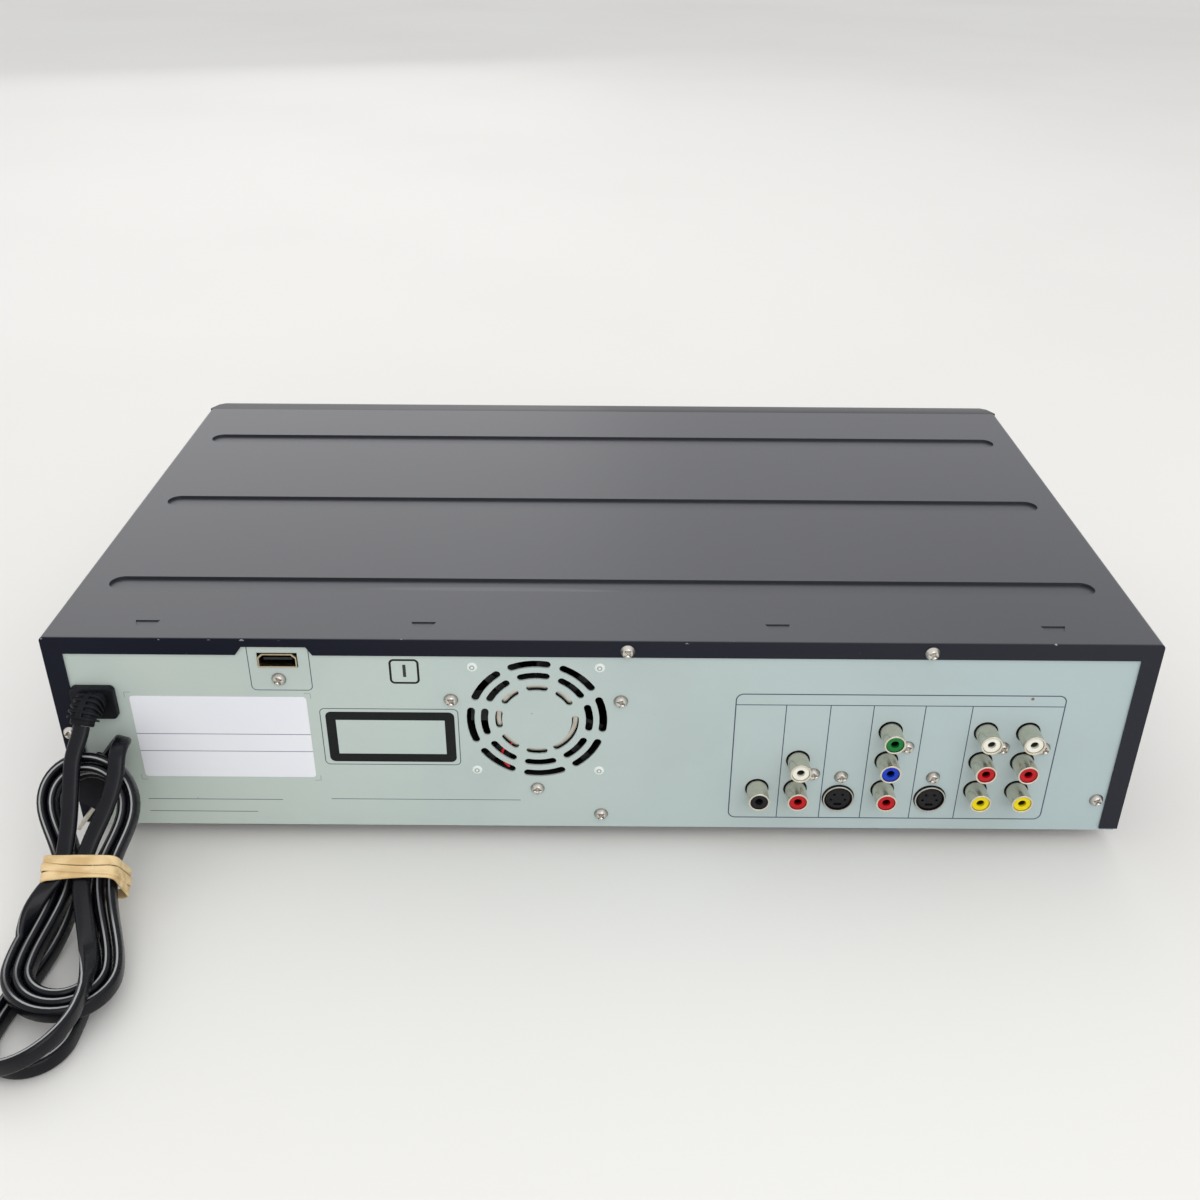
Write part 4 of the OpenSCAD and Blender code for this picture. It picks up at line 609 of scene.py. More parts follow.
def rounded_section(half_out, half_wide, radius, steps=5):
    """Points round a rounded rectangle, as out of its face and along its width."""
    points = []
    for corner, (a, b) in enumerate(((1, 1), (-1, 1), (-1, -1), (1, -1))):
        for k in range(steps + 1):
            angle = math.pi / 2 * (corner + k / steps)
            points.append((a * (half_out - radius) + radius * math.cos(angle),
                           b * (half_wide - radius) + radius * math.sin(angle)))
    return points


rubber = Finish("black_rubber", {"Specular IOR Level": 0.16})
rubber_bloom = rubber.noise(55, 4)
rubber.coloured(rubber_bloom.rising(0.35, 0.75), (13, 14, 18), (30, 31, 37))
rubber.rough(0.36 + rubber_bloom * 0.2)
rubber.grainy(1500, 0.00005, 0.6)

boot_ahead = Vector((math.sin(BOOT_TURN), math.cos(BOOT_TURN), 0))
boot_wide = Vector((math.cos(BOOT_TURN), -math.sin(BOOT_TURN), 0))


def boot_line(degrees):
    a = math.radians(degrees)
    return boot_at + boot_ahead * BOOT_R * math.sin(a) - Vector((0, 0, BOOT_R * (1 - math.cos(a))))


# Where each ring of the boot stands, and how far it swells from the core to a rib
boot_steps = [(0, 0)]
for rib in range(5):
    first = 4 + 11 * rib
    boot_steps += [(first, 0), (first + 0.6, 0.85), (first + 1.4, 1), (first + 4.8, 1), (first + 5.6, 0.85),
                   (min(first + 6.2, 50), 0)]
boot_rings = [rounded_section(3.2 + 0.9 * swell, 4.7 + 1.1 * swell, 2 + 0.6 * swell)
              for _, swell in boot_steps]
boot = swept("boot", [boot_line(degrees) for degrees, _ in boot_steps],
             [boot_wide] * len(boot_steps), boot_rings)
spine_steps = range(0, 51, 5)
spine_section = [(-4.1, -0.9), (-3.9, -1.2), (-2, -1.2), (-2, 1.2), (-3.9, 1.2), (-4.1, 0.9)]
spine = swept("spine", [boot_line(degrees) for degrees in spine_steps],
              [boot_wide] * len(spine_steps), [spine_section] * len(spine_steps))
boot_way = boot_ahead * math.cos(HANK_LEAN) - Vector((0, 0, math.sin(HANK_LEAN)))
sleeve_line = [boot_line(49) + boot_way * step for step in (-1, 0, 2.6, 3)]
sleeve = swept("sleeve", sleeve_line, [boot_wide] * 4,
               [rounded_section(2.9 - less, 4.5 - less, 1.9) for less in (0, 0, 0.05, 0.4)])
GLAND_HALF_W, GLAND_HALF_H = 8.6, 7.35
plate = box_between("plate", GLAND_AT - Vector((GLAND_HALF_W, 0, GLAND_HALF_H)),
                    GLAND_AT + Vector((GLAND_HALF_W, GLAND_T, GLAND_HALF_H)))
edges_rounded(plate, 1, 2)
edges_broken(plate, 0.5, 3)
pad_line = [GLAND_AT + Vector((0, out, BOOT_UP)) for out in (2.5, 3.2)] + [boot_line(3)]
pad = swept("pad", pad_line, [boot_wide] * 3,
            [rounded_section(*half, 2) for half in ((3.7, 5.5), (3.7, 5.5), (3.3, 4.8))])
neck = box_between("neck", GLAND_AT + Vector((-6, -4.8, -4.5)), GLAND_AT + Vector((6, 0.1, 4.5)))
grip = box_between("grip", GLAND_AT + Vector((-7.6, -6.8, -6.35)), GLAND_AT + Vector((7.6, -0.8, 6.35)))
edges_broken(grip, 0.6)
gland = as_one("cord_boot", plate, pad, boot, spine, sleeve, neck, grip)
fitted(gland, "case", "black_plastic", rubber, "cord_gland")

# ---- Rubber band ----
# Tan rubber, in three wraps round the hank's waist. They lie close on one side and part on the other.
BAND_V, BAND_H = (-14.1, 12.6), (-LAYER_STEP / 2 - CORD_W / 2 - 0.4, FLAT_W + CORD_T / 2 + 0.9)
band_half_v, band_half_h = (BAND_V[1] - BAND_V[0]) / 2, (BAND_H[1] - BAND_H[0]) / 2
BAND_POINTS = 96


def spaced(points, count):
    """A closed outline's points at even steps along it."""
    points = [Vector(point) for point in points]
    steps = [(points[(i + 1) % len(points)] - point).length for i, point in enumerate(points)]
    total, result, i, passed = sum(steps), [], 0, 0
    for k in range(count):
        while passed + steps[i] < k * total / count:
            passed += steps[i]
            i += 1
        share = (k * total / count - passed) / max(steps[i], 1e-9)
        result.append(points[i].lerp(points[(i + 1) % len(points)], share))
    return result


def wrap(name, offset, parting, phase, lift, half_wide):
    """One turn of the band: its place along the hank wanders, and it parts from the others towards +X."""
    line, wides, sections = [], [], []
    outline = spaced(rounded_section(band_half_h + lift, band_half_v + lift, 2.5 + lift, 8), BAND_POINTS)
    for k, (h, v) in enumerate(outline):
        angle = 2 * math.pi * k / BAND_POINTS
        s = WAIST_S + offset + 0.9 * math.sin(angle + phase) + parting * (0.5 + 0.5 * v / band_half_v) ** 2
        line.append(hank_point(s, v + sum(BAND_V) / 2, h + sum(BAND_H) / 2))
        slope = hank_slope(s)
        wides.append(Vector((HANK_DRIFT / HANK_LEN, math.cos(slope), -math.sin(slope))))
        pinch = 1 - 0.18 * math.sin(2 * angle + phase)
        sections.append(rounded_section(0.42, half_wide * pinch, 0.36, 3))
    return swept(name, line, wides, sections, endless=True)


band = as_one("rubber_band", wrap("band_upper", -3.0, -1.6, 0.4, 0.55, 1.7),
              wrap("band_middle", 0.0, -0.9, 2.6, 1.05, 1.6), wrap("band_lower", 2.6, 2.4, 4.6, 0.6, 1.6))
tan_rubber = Finish("tan_rubber", {"Specular IOR Level": 0.35, "Subsurface Weight": 0.12,
                                   "Subsurface Radius": (0.0012, 0.0007, 0.0004)})
tan_streaks = tan_rubber.noise(260, 3, tan_rubber.stretched((0.4, 1, 1)))
tan_rubber.coloured(tan_streaks.rising(0.3, 0.7), (204, 172, 120), (232, 206, 158))
tan_rubber.rough(0.42 + tan_streaks * 0.2)
tan_rubber.bumpy(tan_streaks, 0.0002, 0.5)
fitted(band, "case", "band", tan_rubber, "cord_tie")

# ---- Mains plug ----
# Moulded black vinyl with two flat nickel blades. It hangs behind the hank, its blades down and aside.


def at_plug(piece):
    """Turns a piece from the plug's own frame, whose blades point down, into its place behind the hank."""
    piece.rotation_euler = (0, -PLUG_LEAN, 0)
    piece.location = plug_at * MM
    return settled(piece)


# Three ribs, 1.8 mm apart
relief_steps = [(0, 0)]
for first in (0, 1.8, 3.6):
    relief_steps += [(-first - 0.7, 0), (-first - 0.9, 1), (-first - 1.5, 1), (-first - 1.7, 0)]
relief_steps.append((-6.4, 0))
relief = swept("relief", [Vector((0, 0, z)) for z, _ in relief_steps],
               [Vector((1, 0, 0))] * len(relief_steps),
               [rounded_section(2.5 + 0.7 * rib - 0.05 * z, 4.3 + 0.8 * rib - 0.08 * z, 1.6)
                for z, rib in relief_steps])
PLUG_HALF_W, PLUG_HALF_T, PLUG_LOW, PLUG_TOP = 8, 4.4, -22, -6
plug_body = box_between("plug_body", (-PLUG_HALF_W, -PLUG_HALF_T, PLUG_LOW),
                        (PLUG_HALF_W, PLUG_HALF_T, PLUG_TOP))
picked(plug_body, "FACE", lambda face: face.normal.z > 0.9)
bpy.ops.transform.resize(value=(0.68, 0.78, 1), center_override=(0, 0, PLUG_TOP * MM))
bpy.ops.object.mode_set(mode="OBJECT")
picked(plug_body, "FACE", lambda face: face.normal.z < -0.9)
bpy.ops.mesh.inset(thickness=0.9 * MM, depth=0)
bpy.ops.mesh.extrude_region_move(TRANSFORM_OT_translate={"value": (0, 0, -0.35 * MM)})
bpy.ops.object.mode_set(mode="OBJECT")
edges_broken(plug_body, 1.1, 4)
plug_vinyl_body = at_plug(as_one("plug_body", plug_body, relief))
fitted(plug_vinyl_body, "case", "black_plastic", rubber)

BLADE_X, BLADE_T, BLADE_W = 6.35, 1.5, 6.4
BLADE_LOW, BLADE_HIGH, BORE_Z, BORE_R = -37.9, -20, -33.9, 1.5


def plug_blade(x):
    blade = box_between("plug_blade", (x - BLADE_T / 2, -BLADE_W / 2, BLADE_LOW),
                        (x + BLADE_T / 2, BLADE_W / 2, BLADE_HIGH))
    edges_rounded(blade, 0, 1, 3)
    bore = round_bar("bore", (x - 2, 0, BORE_Z), (x + 2, 0, BORE_Z), BORE_R, 24)
    worked(blade, "BOOLEAN", object=bore, operation="DIFFERENCE", solver="EXACT")
    bpy.data.objects.remove(bore)
    return edges_broken(blade, 0.15)


def clouded(name, constants, scale, detail, dark, light, rough, rougher):
    """A finish with one cloudy pattern in both its colour and its roughness."""
    finish = Finish(name, constants)
    finish.clouds = finish.noise(scale, detail)
    finish.coloured(finish.clouds, dark, light)
    finish.rough(rough + finish.clouds * rougher)
    return finish


nickel = clouded("bright_nickel", {"Metallic": 1.0}, 420, 4, (176, 170, 158), (220, 214, 202), 0.22, 0.18)
nickel.grainy(1800, 0.00002, 0.4)
blades = at_plug(as_one("plug_blades", plug_blade(-BLADE_X), plug_blade(BLADE_X)))
fitted(blades, "case", "nickel", nickel, "mains_plug")

cord_length = sum((b - a).length for a, b in zip(cord_line, cord_line[1:])) * MM
[point * MM for point in cord_line]

# ---- Top cover ----
# One folded sheet of steel under black semi-gloss paint: roof, sides and a flange round the rear. Three
# grooves are pressed across the roof, four tabs lanced near its rear, and the fold's paint is chipped.
CASE_H = 99.5


def dressed(node, name, slot, finish, edge=0.0, steps=2, angle=30):
    """A copy of one of the frame's nodes, its triangles joined into flat faces, its sharp edges rounded."""
    source = frame["nodes"][node]
    piece = bpy.data.objects.new(name, source.data.copy())
    bpy.context.scene.collection.objects.link(piece)
    only(piece)
    bpy.ops.mesh.customdata_custom_splitnormals_clear()
    bpy.ops.object.mode_set(mode="EDIT")
    bpy.ops.mesh.select_all(action="SELECT")
    bpy.ops.mesh.remove_doubles(threshold=0.002 * MM)
    bpy.ops.mesh.dissolve_limited(angle_limit=math.radians(0.8))
    bpy.ops.object.mode_set(mode="OBJECT")
    bpy.ops.object.shade_smooth_by_angle(angle=math.radians(angle))
    if edge:
        edges_broken(piece, edge, steps, angle)
    fitted(piece, source["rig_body"], slot, finish, node)
    return piece


cover_paint = Finish("black_cover_paint", {"Specular IOR Level": 0.1, "Coat Roughness": 0.34})
cover_x, cover_y, cover_z = cover_paint.axes()
cover_clouds = cover_paint.noise(7, 5)
cover_grain = cover_paint.noise(2400, 2)
cover_scuffs = cover_paint.noise(38, 3, cover_paint.stretched((0.06, 1, 1), (0, 0, 0.5))).rising(0.68, 0.72)
cover_dust = cover_paint.cells(190).lower_of(0.2).rising(0.045, 0.03)
cover_dust *= cover_paint.noise(21, 2).rising(0.5, 0.62)
rear_fold = cover_y.rising((REAR_Y - 1.1) * MM, (REAR_Y - 0.3) * MM)
rear_fold *= cover_z.rising((CASE_H - 1.1) * MM, (CASE_H - 0.3) * MM)
cover_chips = rear_fold * cover_paint.noise(190, 5).rising(0.63, 0.67)
cover_black = cover_paint.mixed(cover_clouds, (37, 39, 45), (48, 50, 56))
# Painted shade: the rear flange is the roof's own paint, coloured darker and bluer than the roof, with its
# coat thinning towards +X.
shaded_flange = cover_y.rising((REAR_Y - 0.9) * MM, (REAR_Y - 0.4) * MM)
cover_black = cover_paint.mixed(shaded_flange, cover_black, (10, 14, 30))
cover_black = cover_paint.mixed(cover_scuffs * 0.22 + cover_dust * 0.5, cover_black, (120, 122, 126))
cover_paint.coloured(cover_chips, cover_black, (176, 177, 178))
cover_paint.rough(0.33 + cover_grain * 0.12 + cover_clouds * 0.1)
cover_paint.feed("Coat Weight", 1 - shaded_flange * (0.92 - cover_x.rising(0.2, -0.22) * 0.45))
cover_paint.bumpy(cover_grain, 0.00003, 0.5)
dressed("top_cover", "top_cover_sheet", "cover_paint", cover_paint, 0.3, 3)

# ---- Chassis and feet ----
# The bottom tray is plated steel, bare. Each foot is a moulded rubber disc.
steel = Finish("plated_steel", {"Metallic": 1.0})
steel_spangle = steel.cells(110)
steel_brush = steel.noise(90, 3, steel.stretched((0.05, 1, 1)))
steel.coloured(steel_spangle * 0.6 + steel_brush * 0.4, (150, 152, 154), (196, 197, 198))
steel.rough(0.3 + steel_spangle * 0.15 + steel_brush * 0.12)
steel.bumpy(steel_brush, 0.00003, 0.4)
dressed("bottom_chassis", "chassis_tray", "chassis_steel", steel, 0.15)
dressed("feet", "rubber_feet", "foot", rubber, 0.5, 3)

# ---- Rear panel ----
# Steel under pale grey-green paint, with printed frames and rules. Four dimples are pressed over the fan's
# own mounting holes.


def ring_line(x, z, low, high, radius, width):
    """1 on a line round a rectangle with rounded corners and 0 off it. All sizes are in millimetres."""
    off_x = abs(x - (low[0] + high[0]) / 2 * MM) - ((high[0] - low[0]) / 2 - radius) * MM
    off_z = abs(z - (low[1] + high[1]) / 2 * MM) - ((high[1] - low[1]) / 2 - radius) * MM
    outside = (off_x.higher_of(0) ** 2 + off_z.higher_of(0) ** 2) ** 0.5
    away = abs(outside + off_x.higher_of(off_z).lower_of(0) - radius * MM)
    return away.rising((width / 2 + 0.05) * MM, (width / 2 - 0.05) * MM)


def bar_print(x, z, low, high):
    """1 inside a rectangle and 0 outside it. All sizes are in millimetres."""
    off_x = abs(x - (low[0] + high[0]) / 2 * MM) - (high[0] - low[0]) / 2 * MM
    off_z = abs(z - (low[1] + high[1]) / 2 * MM) - (high[1] - low[1]) / 2 * MM
    return off_x.higher_of(off_z).rising(0.05 * MM, -0.05 * MM)


panel_paint = Finish("pale_panel_paint", {"Specular IOR Level": 0.22})
panel_x, _, panel_z = panel_paint.axes()
panel_mottle = panel_paint.noise(16, 5)
panel_grain = panel_paint.noise(2600, 2)
# Painted light: the paint turns lighter and warmer towards +X, as light falls across the panel.
panel_base = panel_paint.mixed(panel_x.rising(-0.2, 0.21), (176, 192, 194), (190, 201, 194))
panel_base = panel_paint.mixed(panel_mottle.rising(0.4, 0.7) * 0.35, panel_base, (168, 181, 179))

# Two corners of each printed frame, across and up
SOCKET_FRAME, SOCKET_HEAD_Z = ((-184.4, 13), (-53.5, 75)), 69.7
VIDEO_FRAME, PLATE_FRAME = ((114.2, 75.4), (138.1, 98)), ((57.4, 39.2), (112.6, 66.7))
PLATE_BORDER, NUMBER_FRAME = ((60.9, 42.6), (108.6, 63.2)), ((72, 79.2), (82.9, 89.8))
LABEL_CORNERS, CORNER_L = ((115.5, 30.8), (189.4, 73.9)), 2.5
RULE_W, FOOT_RULE_W = 0.4, 0.3
panel_rules = [((SOCKET_FRAME[0][0], SOCKET_HEAD_Z), (SOCKET_FRAME[1][0], SOCKET_HEAD_Z + RULE_W))]
for x in (-73.9, -91.6, -108.8, -129.4, -148.1):
    panel_rules.append(((x, SOCKET_FRAME[0][1]), (x + RULE_W, SOCKET_HEAD_Z + RULE_W / 2)))
for first, last, z in ((132.5, 188.6, 20.45), (143.8, 189, 14.05), (33.4, 112.2, 21.05)):
    panel_rules.append(((first, z), (last, z + FOOT_RULE_W)))
panel_thin = ring_line(panel_x, panel_z, *SOCKET_FRAME, 3, 0.5)
for low, high in panel_rules:
    panel_thin = panel_thin.higher_of(bar_print(panel_x, panel_z, low, high))
for print_frame in (VIDEO_FRAME, PLATE_FRAME):
    panel_thin = panel_thin.higher_of(ring_line(panel_x, panel_z, *print_frame, 2, 0.35))
label_corners = ring_line(panel_x, panel_z, *LABEL_CORNERS, 0.3, 0.3)
for axis, low, high in zip((panel_x, panel_z), *LABEL_CORNERS):
    from_middle = abs(axis - (low + high) / 2 * MM)
    label_corners *= from_middle > ((high - low) / 2 - CORNER_L) * MM
panel_thick = ring_line(panel_x, panel_z, *PLATE_BORDER, 0.4, 4)
panel_thick = panel_thick.higher_of(ring_line(panel_x, panel_z, *NUMBER_FRAME, 1.6, 0.9))
panel_print = (panel_thin * 0.9).higher_of(label_corners * 0.4)
panel_base = panel_paint.mixed(panel_print, panel_base, (38, 48, 76))
panel_base = panel_paint.mixed(panel_thick, panel_base, (14, 16, 18))
RUST_X, RUST_Z = -170.9, 73.6
rust_away = ((panel_x - RUST_X * MM) ** 2 + (panel_z - RUST_Z * MM) ** 2) ** 0.5
rust = (rust_away + panel_paint.noise(700, 3) * 0.0008).rising(0.0013, 0.0008)
panel_base = panel_paint.mixed(rust * 0.85, panel_base, (124, 72, 38))
panel_specks = panel_paint.cells(95).rising(0.035, 0.022) * panel_paint.noise(12, 2).rising(0.52, 0.6)
panel_paint.coloured(panel_specks * 0.6, panel_base, (96, 100, 96))
panel_paint.rough(0.42 + panel_mottle * 0.14)
panel_paint.bumpy(panel_grain, 0.00003, 0.35)
dressed("rear_panel", "rear_panel_sheet", "panel_paint", panel_paint, 0.12)

FAN_X, FAN_Z, FAN_HOLE = 25.8, 61.8, 25
# Painted light on the dimples: they are coloured much lighter than the panel's paint as a painted highlight,
# with a dark ring of painted shade round the foot of each stud.
highlit_dimple_paint = Finish("highlit_dimple_paint", {"Specular IOR Level": 0.6})
dimple_x, _, dimple_z = highlit_dimple_paint.axes()
dimple_away = ((abs(dimple_x - FAN_X * MM) - FAN_HOLE * MM) ** 2
               + (abs(dimple_z - FAN_Z * MM) - FAN_HOLE * MM) ** 2) ** 0.5
stud_foot_shade = dimple_away.rising(0.0005, 0.0007) * dimple_away.rising(0.0012, 0.0009)
highlit_dimple_paint.coloured(stud_foot_shade * 0.7, (222, 230, 226), (92, 104, 104))
highlit_dimple_paint.rough(0.22 + highlit_dimple_paint.noise(300, 2) * 0.1)
for i, (side, up) in enumerate(((-1, -1), (1, -1), (-1, 1), (1, 1))):
    x, z = FAN_X + side * FAN_HOLE, FAN_Z + up * FAN_HOLE
    bpy.ops.object.select_all(action="DESELECT")
    bpy.ops.mesh.primitive_uv_sphere_add(segments=32, ring_count=16, radius=1)
    dimple = bpy.context.object
    dimple.name = "fan_dimple_%d" % (i + 1)
    dimple.scale = (2.1 * MM, 0.55 * MM, 2.1 * MM)
    dimple.location = Vector((x, PANEL_Y, z)) * MM
    settled(dimple)
    stud = round_bar("stud", (x, PANEL_Y, z), (x, PANEL_Y + 0.75, z), 0.55, 20)
    edges_broken(stud, 0.15)
    only(dimple)
    bpy.ops.object.shade_smooth()
    fitted(as_one(dimple.name, dimple, stud), "case", "panel_paint", highlit_dimple_paint)

# The plain number in the printed square
bpy.ops.object.select_all(action="DESELECT")
bpy.ops.object.text_add()
numeral = bpy.context.object
numeral.data.body = "1"
numeral.data.size = 7.6 * MM
numeral.data.extrude = 0.02 * MM
numeral.data.offset = 0.24 * MM
numeral.data.align_x = "CENTER"
numeral.data.align_y = "CENTER"
bpy.ops.object.convert(target="MESH")
numeral = bpy.context.object
numeral.name = "printed_number"
numeral.rotation_euler = (math.pi / 2, 0, math.pi)
numeral.location = Vector((77.4, PANEL_Y + 0.02, 84.5)) * MM
settled(numeral)
ink = Finish("black_ink", {"Roughness": 0.5})
ink.coloured(ink.noise(500, 2), (24, 27, 30), (36, 40, 44))
fitted(numeral, "case", "panel_paint", ink)

# ---- Label ----
# A white film label stuck beside the cord, with two ruled lines.
LABEL_X, LABEL_Z, LABEL_T = (117.3, 187.6), (32.5, 72.2), 0.16
label = box_between("film_label", (LABEL_X[0], PANEL_Y, LABEL_Z[0]),
                    (LABEL_X[1], PANEL_Y + LABEL_T, LABEL_Z[1]))
edges_rounded(label, 1, 1.4, 5)
edges_broken(label, 0.05)
film = Finish("white_film", {"Specular IOR Level": 0.5})
film_x, _, film_z = film.axes()
upper_rule, lower_rule = [bar_print(film_x, film_z, (LABEL_X[0], z), (LABEL_X[1], z + 0.35))
                          for z in (53.8, 45.3)]
film_rules = upper_rule.higher_of(lower_rule)
film_tone = film.mixed(film.noise(11, 4), (226, 228, 236), (242, 243, 247))
film.coloured(film_rules * 0.85, film_tone, (88, 86, 120))
film.rough(0.3 + film.noise(30, 3) * 0.15)
fitted(label, "case", "panel_paint", film)

# ---- Screws ----
# Pan heads with a cross recess, nickel over steel, with painted shade that darkens the nickel the nearer it
# lies to the panel, down into the recess.
shaded_screw_nickel = Finish("shaded_screw_nickel", {"Metallic": 1.0})
screw_nickel_grain = shaded_screw_nickel.noise(900, 3)
# Painted shade: the nickel turns dark towards the panel and light on the heads' tops.
screw_shade_ramp = shaded_screw_nickel.axes()[1].rising((REAR_Y - 0.9) * MM, (REAR_Y + 0.6) * MM)
shaded_screw_nickel.coloured(screw_shade_ramp * 0.7 + screw_nickel_grain * 0.3, (110, 105, 98), (224, 219, 210))
shaded_screw_nickel.rough(0.2 + screw_nickel_grain * 0.2)
shaded_screw_nickel.bumpy(screw_nickel_grain, 0.00002, 0.4)
HEAD_R, HEAD_H, SHANK_R = 3, 1.9, 1.4
head = round_bar("screw_head", (0, 0, 0), (0, HEAD_H, 0), HEAD_R, 40)
picked(head, "FACE", lambda face: face.normal.y > 0.9)
bpy.ops.transform.resize(value=(0.6, 1, 0.6), center_override=(0, HEAD_H * MM, 0))
bpy.ops.object.mode_set(mode="OBJECT")
edges_broken(head, 0.3, 3, 20)
for turn in (0, math.pi / 2):
    arm = box_between("arm", (-1.75, 0.85, -0.36), (1.75, 3, 0.36))
    arm.rotation_euler = (0, turn, 0)
    settled(arm)
    worked(head, "BOOLEAN", object=arm, operation="DIFFERENCE", solver="EXACT")
    bpy.data.objects.remove(arm)
only(head)
bpy.ops.object.shade_smooth_by_angle(angle=math.radians(38))


def screw_set(name, shank, places):
    """Copies of the head, each with its shank and its own turn, at places in millimetres."""
    screws = []
    for i, (x, y, z) in enumerate(places):
        copy = head.copy()
        copy.data = head.data.copy()
        bpy.context.scene.collection.objects.link(copy)
        copy.rotation_euler = (0, math.radians(45 + 23 * i % 90), 0)
        copy.location = Vector((x, y, z)) * MM
        screws += [settled(copy), round_bar("shank", (x, y - shank, z), (x, y + 0.3, z), SHANK_R, 20)]
    return as_one(name, *screws)


fitted(screw_set("cover_screw_set", 5, ((-10, REAR_Y, 95), (-128.1, REAR_Y, 95), (213.9, REAR_Y, 54.65))),
       "case", "steel", shaded_screw_nickel, "cover_screws")
PANEL_SCREWS = ((59.8, 71.3), (-7.7, 71.1), (26.2, 27.5), (127, 80.6), (-0.2, 14.2), (-206.1, 23.4),
                (-87.2, 35.8), (-124.2, 49.7), (-162.8, 49.7), (-179.4, 49.5), (-98.9, 34.5), (-136.7, 34.5))
fitted(screw_set("panel_screw_set", 3, [(x, PANEL_Y, z) for x, z in PANEL_SCREWS]),
       "case", "steel", shaded_screw_nickel, "panel_screws")
bpy.data.objects.remove(head)

# ---- Fan ----
# A black moulded frame on a plated bracket behind the slots, and a rotor with a bright steel rim on its hub.
moulded = clouded("black_moulding", {"Specular IOR Level": 0.2}, 60, 4, (20, 20, 22), (31, 31, 34), 0.4, 0.16)
moulded.grainy(1600, 0.00005, 0.5)
dressed("fan_bracket", "fan_plate", "steel", steel, 0.15)
dressed("fan_frame", "fan_housing", "fan_plastic", moulded, 0.3)
blade_grey = Finish("rotor_grey", {"Specular IOR Level": 0.45})
blade_dust = blade_grey.noise(70, 5)
blade_grey.coloured(blade_dust.rising(0.4, 0.7), (30, 30, 33), (62, 61, 62))
blade_grey.rough(0.42 + blade_dust * 0.25)
blade_grey.bumpy(blade_dust, 0.0001, 0.3)
dressed("fan_rotor", "fan_blades", "fan_plastic", blade_grey, 0.25)


RING_POINTS = 72


def ring_round(name, x, y, z, radius, half_thick, half_wide):
    """A flat ring parallel to the panel, in millimetres."""
    turns = [2 * math.pi * k / RING_POINTS for k in range(RING_POINTS)]
    return swept(name, [Vector((x + radius * math.cos(a), y, z + radius * math.sin(a))) for a in turns],
                 [Vector((math.cos(a), 0, math.sin(a))) for a in turns],
                 [rounded_section(half_thick, half_wide, 0.12, 2)] * RING_POINTS, endless=True)


HUB_FACE_Y = PANEL_Y - 1.8
fitted(ring_round("hub_rim", FAN_X, HUB_FACE_Y - 0.1, FAN_Z, 15.4, 0.45, 1.0), "case", "steel", nickel)
vinyl_red = clouded("red_vinyl", {"Specular IOR Level": 0.5}, 300, 2, (170, 14, 30), (222, 28, 48), 0.3, 0.1)
wire_keys = [(FAN_X + x, HUB_FACE_Y - 0.2, FAN_Z + z) for x, z in
             ((10, -12.5), (12.5, -14), (14.4, -16.5), (14.6, -19.5), (13.4, -22.8), (11.5, -24.9))]
wire_line = [Vector(through(wire_keys, i, f))
             for i in range(len(wire_keys) - 1) for f in (0, 0.25, 0.5, 0.75)]
fan_wire = swept("fan_wire", wire_line, [Vector((0, 1, 0))] * len(wire_line),
                 [rounded_section(0.6, 0.6, 0.59, 4)] * len(wire_line))
fitted(fan_wire, "case", "fan_plastic", vinyl_red)

# ---- Sockets ----
# Phono jacks: nickel barrels over coloured plastic. The round video sockets are black, in a thin metal
# ring, and the digital video socket is a folded shell round a black tongue.
warm_nickel = Finish("warm_nickel", {"Metallic": 1.0})
warm_wear = warm_nickel.noise(300, 4)
# Painted shadow: the barrels turn near black where they meet the panel, in the gap round their base.
barrel_foot_shadow = abs(warm_nickel.axes()[1] - PANEL_Y * MM).rising(0.7 * MM, 0.3 * MM)
warm_tone = warm_nickel.mixed(warm_wear, (204, 197, 178), (236, 230, 216))
warm_nickel.coloured(barrel_foot_shadow, warm_tone, (34, 31, 30))
warm_nickel.rough(0.16 + warm_wear * 0.16)
warm_nickel.grainy(1500, 0.00002, 0.3)
dressed("jack_barrels", "jack_barrel_set", "nickel", warm_nickel, 0.28, 3)

JACK_COLOURS = {"jack_inserts_white": ("jack_white", (222, 220, 206), (246, 244, 234)),
                "jack_inserts_red": ("jack_red", (158, 4, 16), (206, 10, 28)),
                "jack_inserts_yellow": ("jack_yellow", (212, 188, 0), (244, 226, 0)),
                "jack_insert_green": ("jack_green", (8, 92, 38), (14, 132, 60)),
                "jack_insert_blue": ("jack_blue", (10, 40, 150), (14, 66, 206))}
for node, (slot, dull, bright) in JACK_COLOURS.items():
    insert = Finish(slot + "_plastic", {"Specular IOR Level": 0.3})
    insert_y = insert.axes()[1]
    insert_tone = insert.mixed(insert.noise(400, 3), dull, bright)
    # Painted shade: each insert turns near black deep in its hole, towards the panel.
    insert_hole_shade = insert_y.rising((PANEL_Y + 8.1) * MM, (PANEL_Y + 7.4) * MM)
    insert.coloured(insert_hole_shade * 0.92, insert_tone, (12, 12, 12))
    insert.rough(0.3 + insert.noise(900, 2) * 0.14)
    dressed(node, node + "_ring", slot, insert, 0.2)
dressed("jack_blocks", "jack_housings", "black_plastic", moulded, 0.25)
dressed("svideo_sockets", "round_video_sockets", "black_plastic", moulded, 0.12)
for i, x in enumerate((-98.6, -136.7)):
    ring = ring_round("round_socket_ring_%d" % (i + 1), x, PANEL_Y + 0.95, 23.65, 6.05, 0.3, 0.25)
    fitted(ring, "case", "nickel", nickel)

HDMI_X, HDMI_Z = HALF_W - 90.9, CASE_H - 10.1
shell = Finish("socket_shell", {})
shell_x, shell_y, shell_z = shell.axes()
shell_tongue = ((abs(shell_x - HDMI_X * MM) < 5.9 * MM) * (abs(shell_z - (HDMI_Z + 0.15) * MM) < 0.8 * MM)
                * (shell_y < (PANEL_Y - 0.9) * MM))
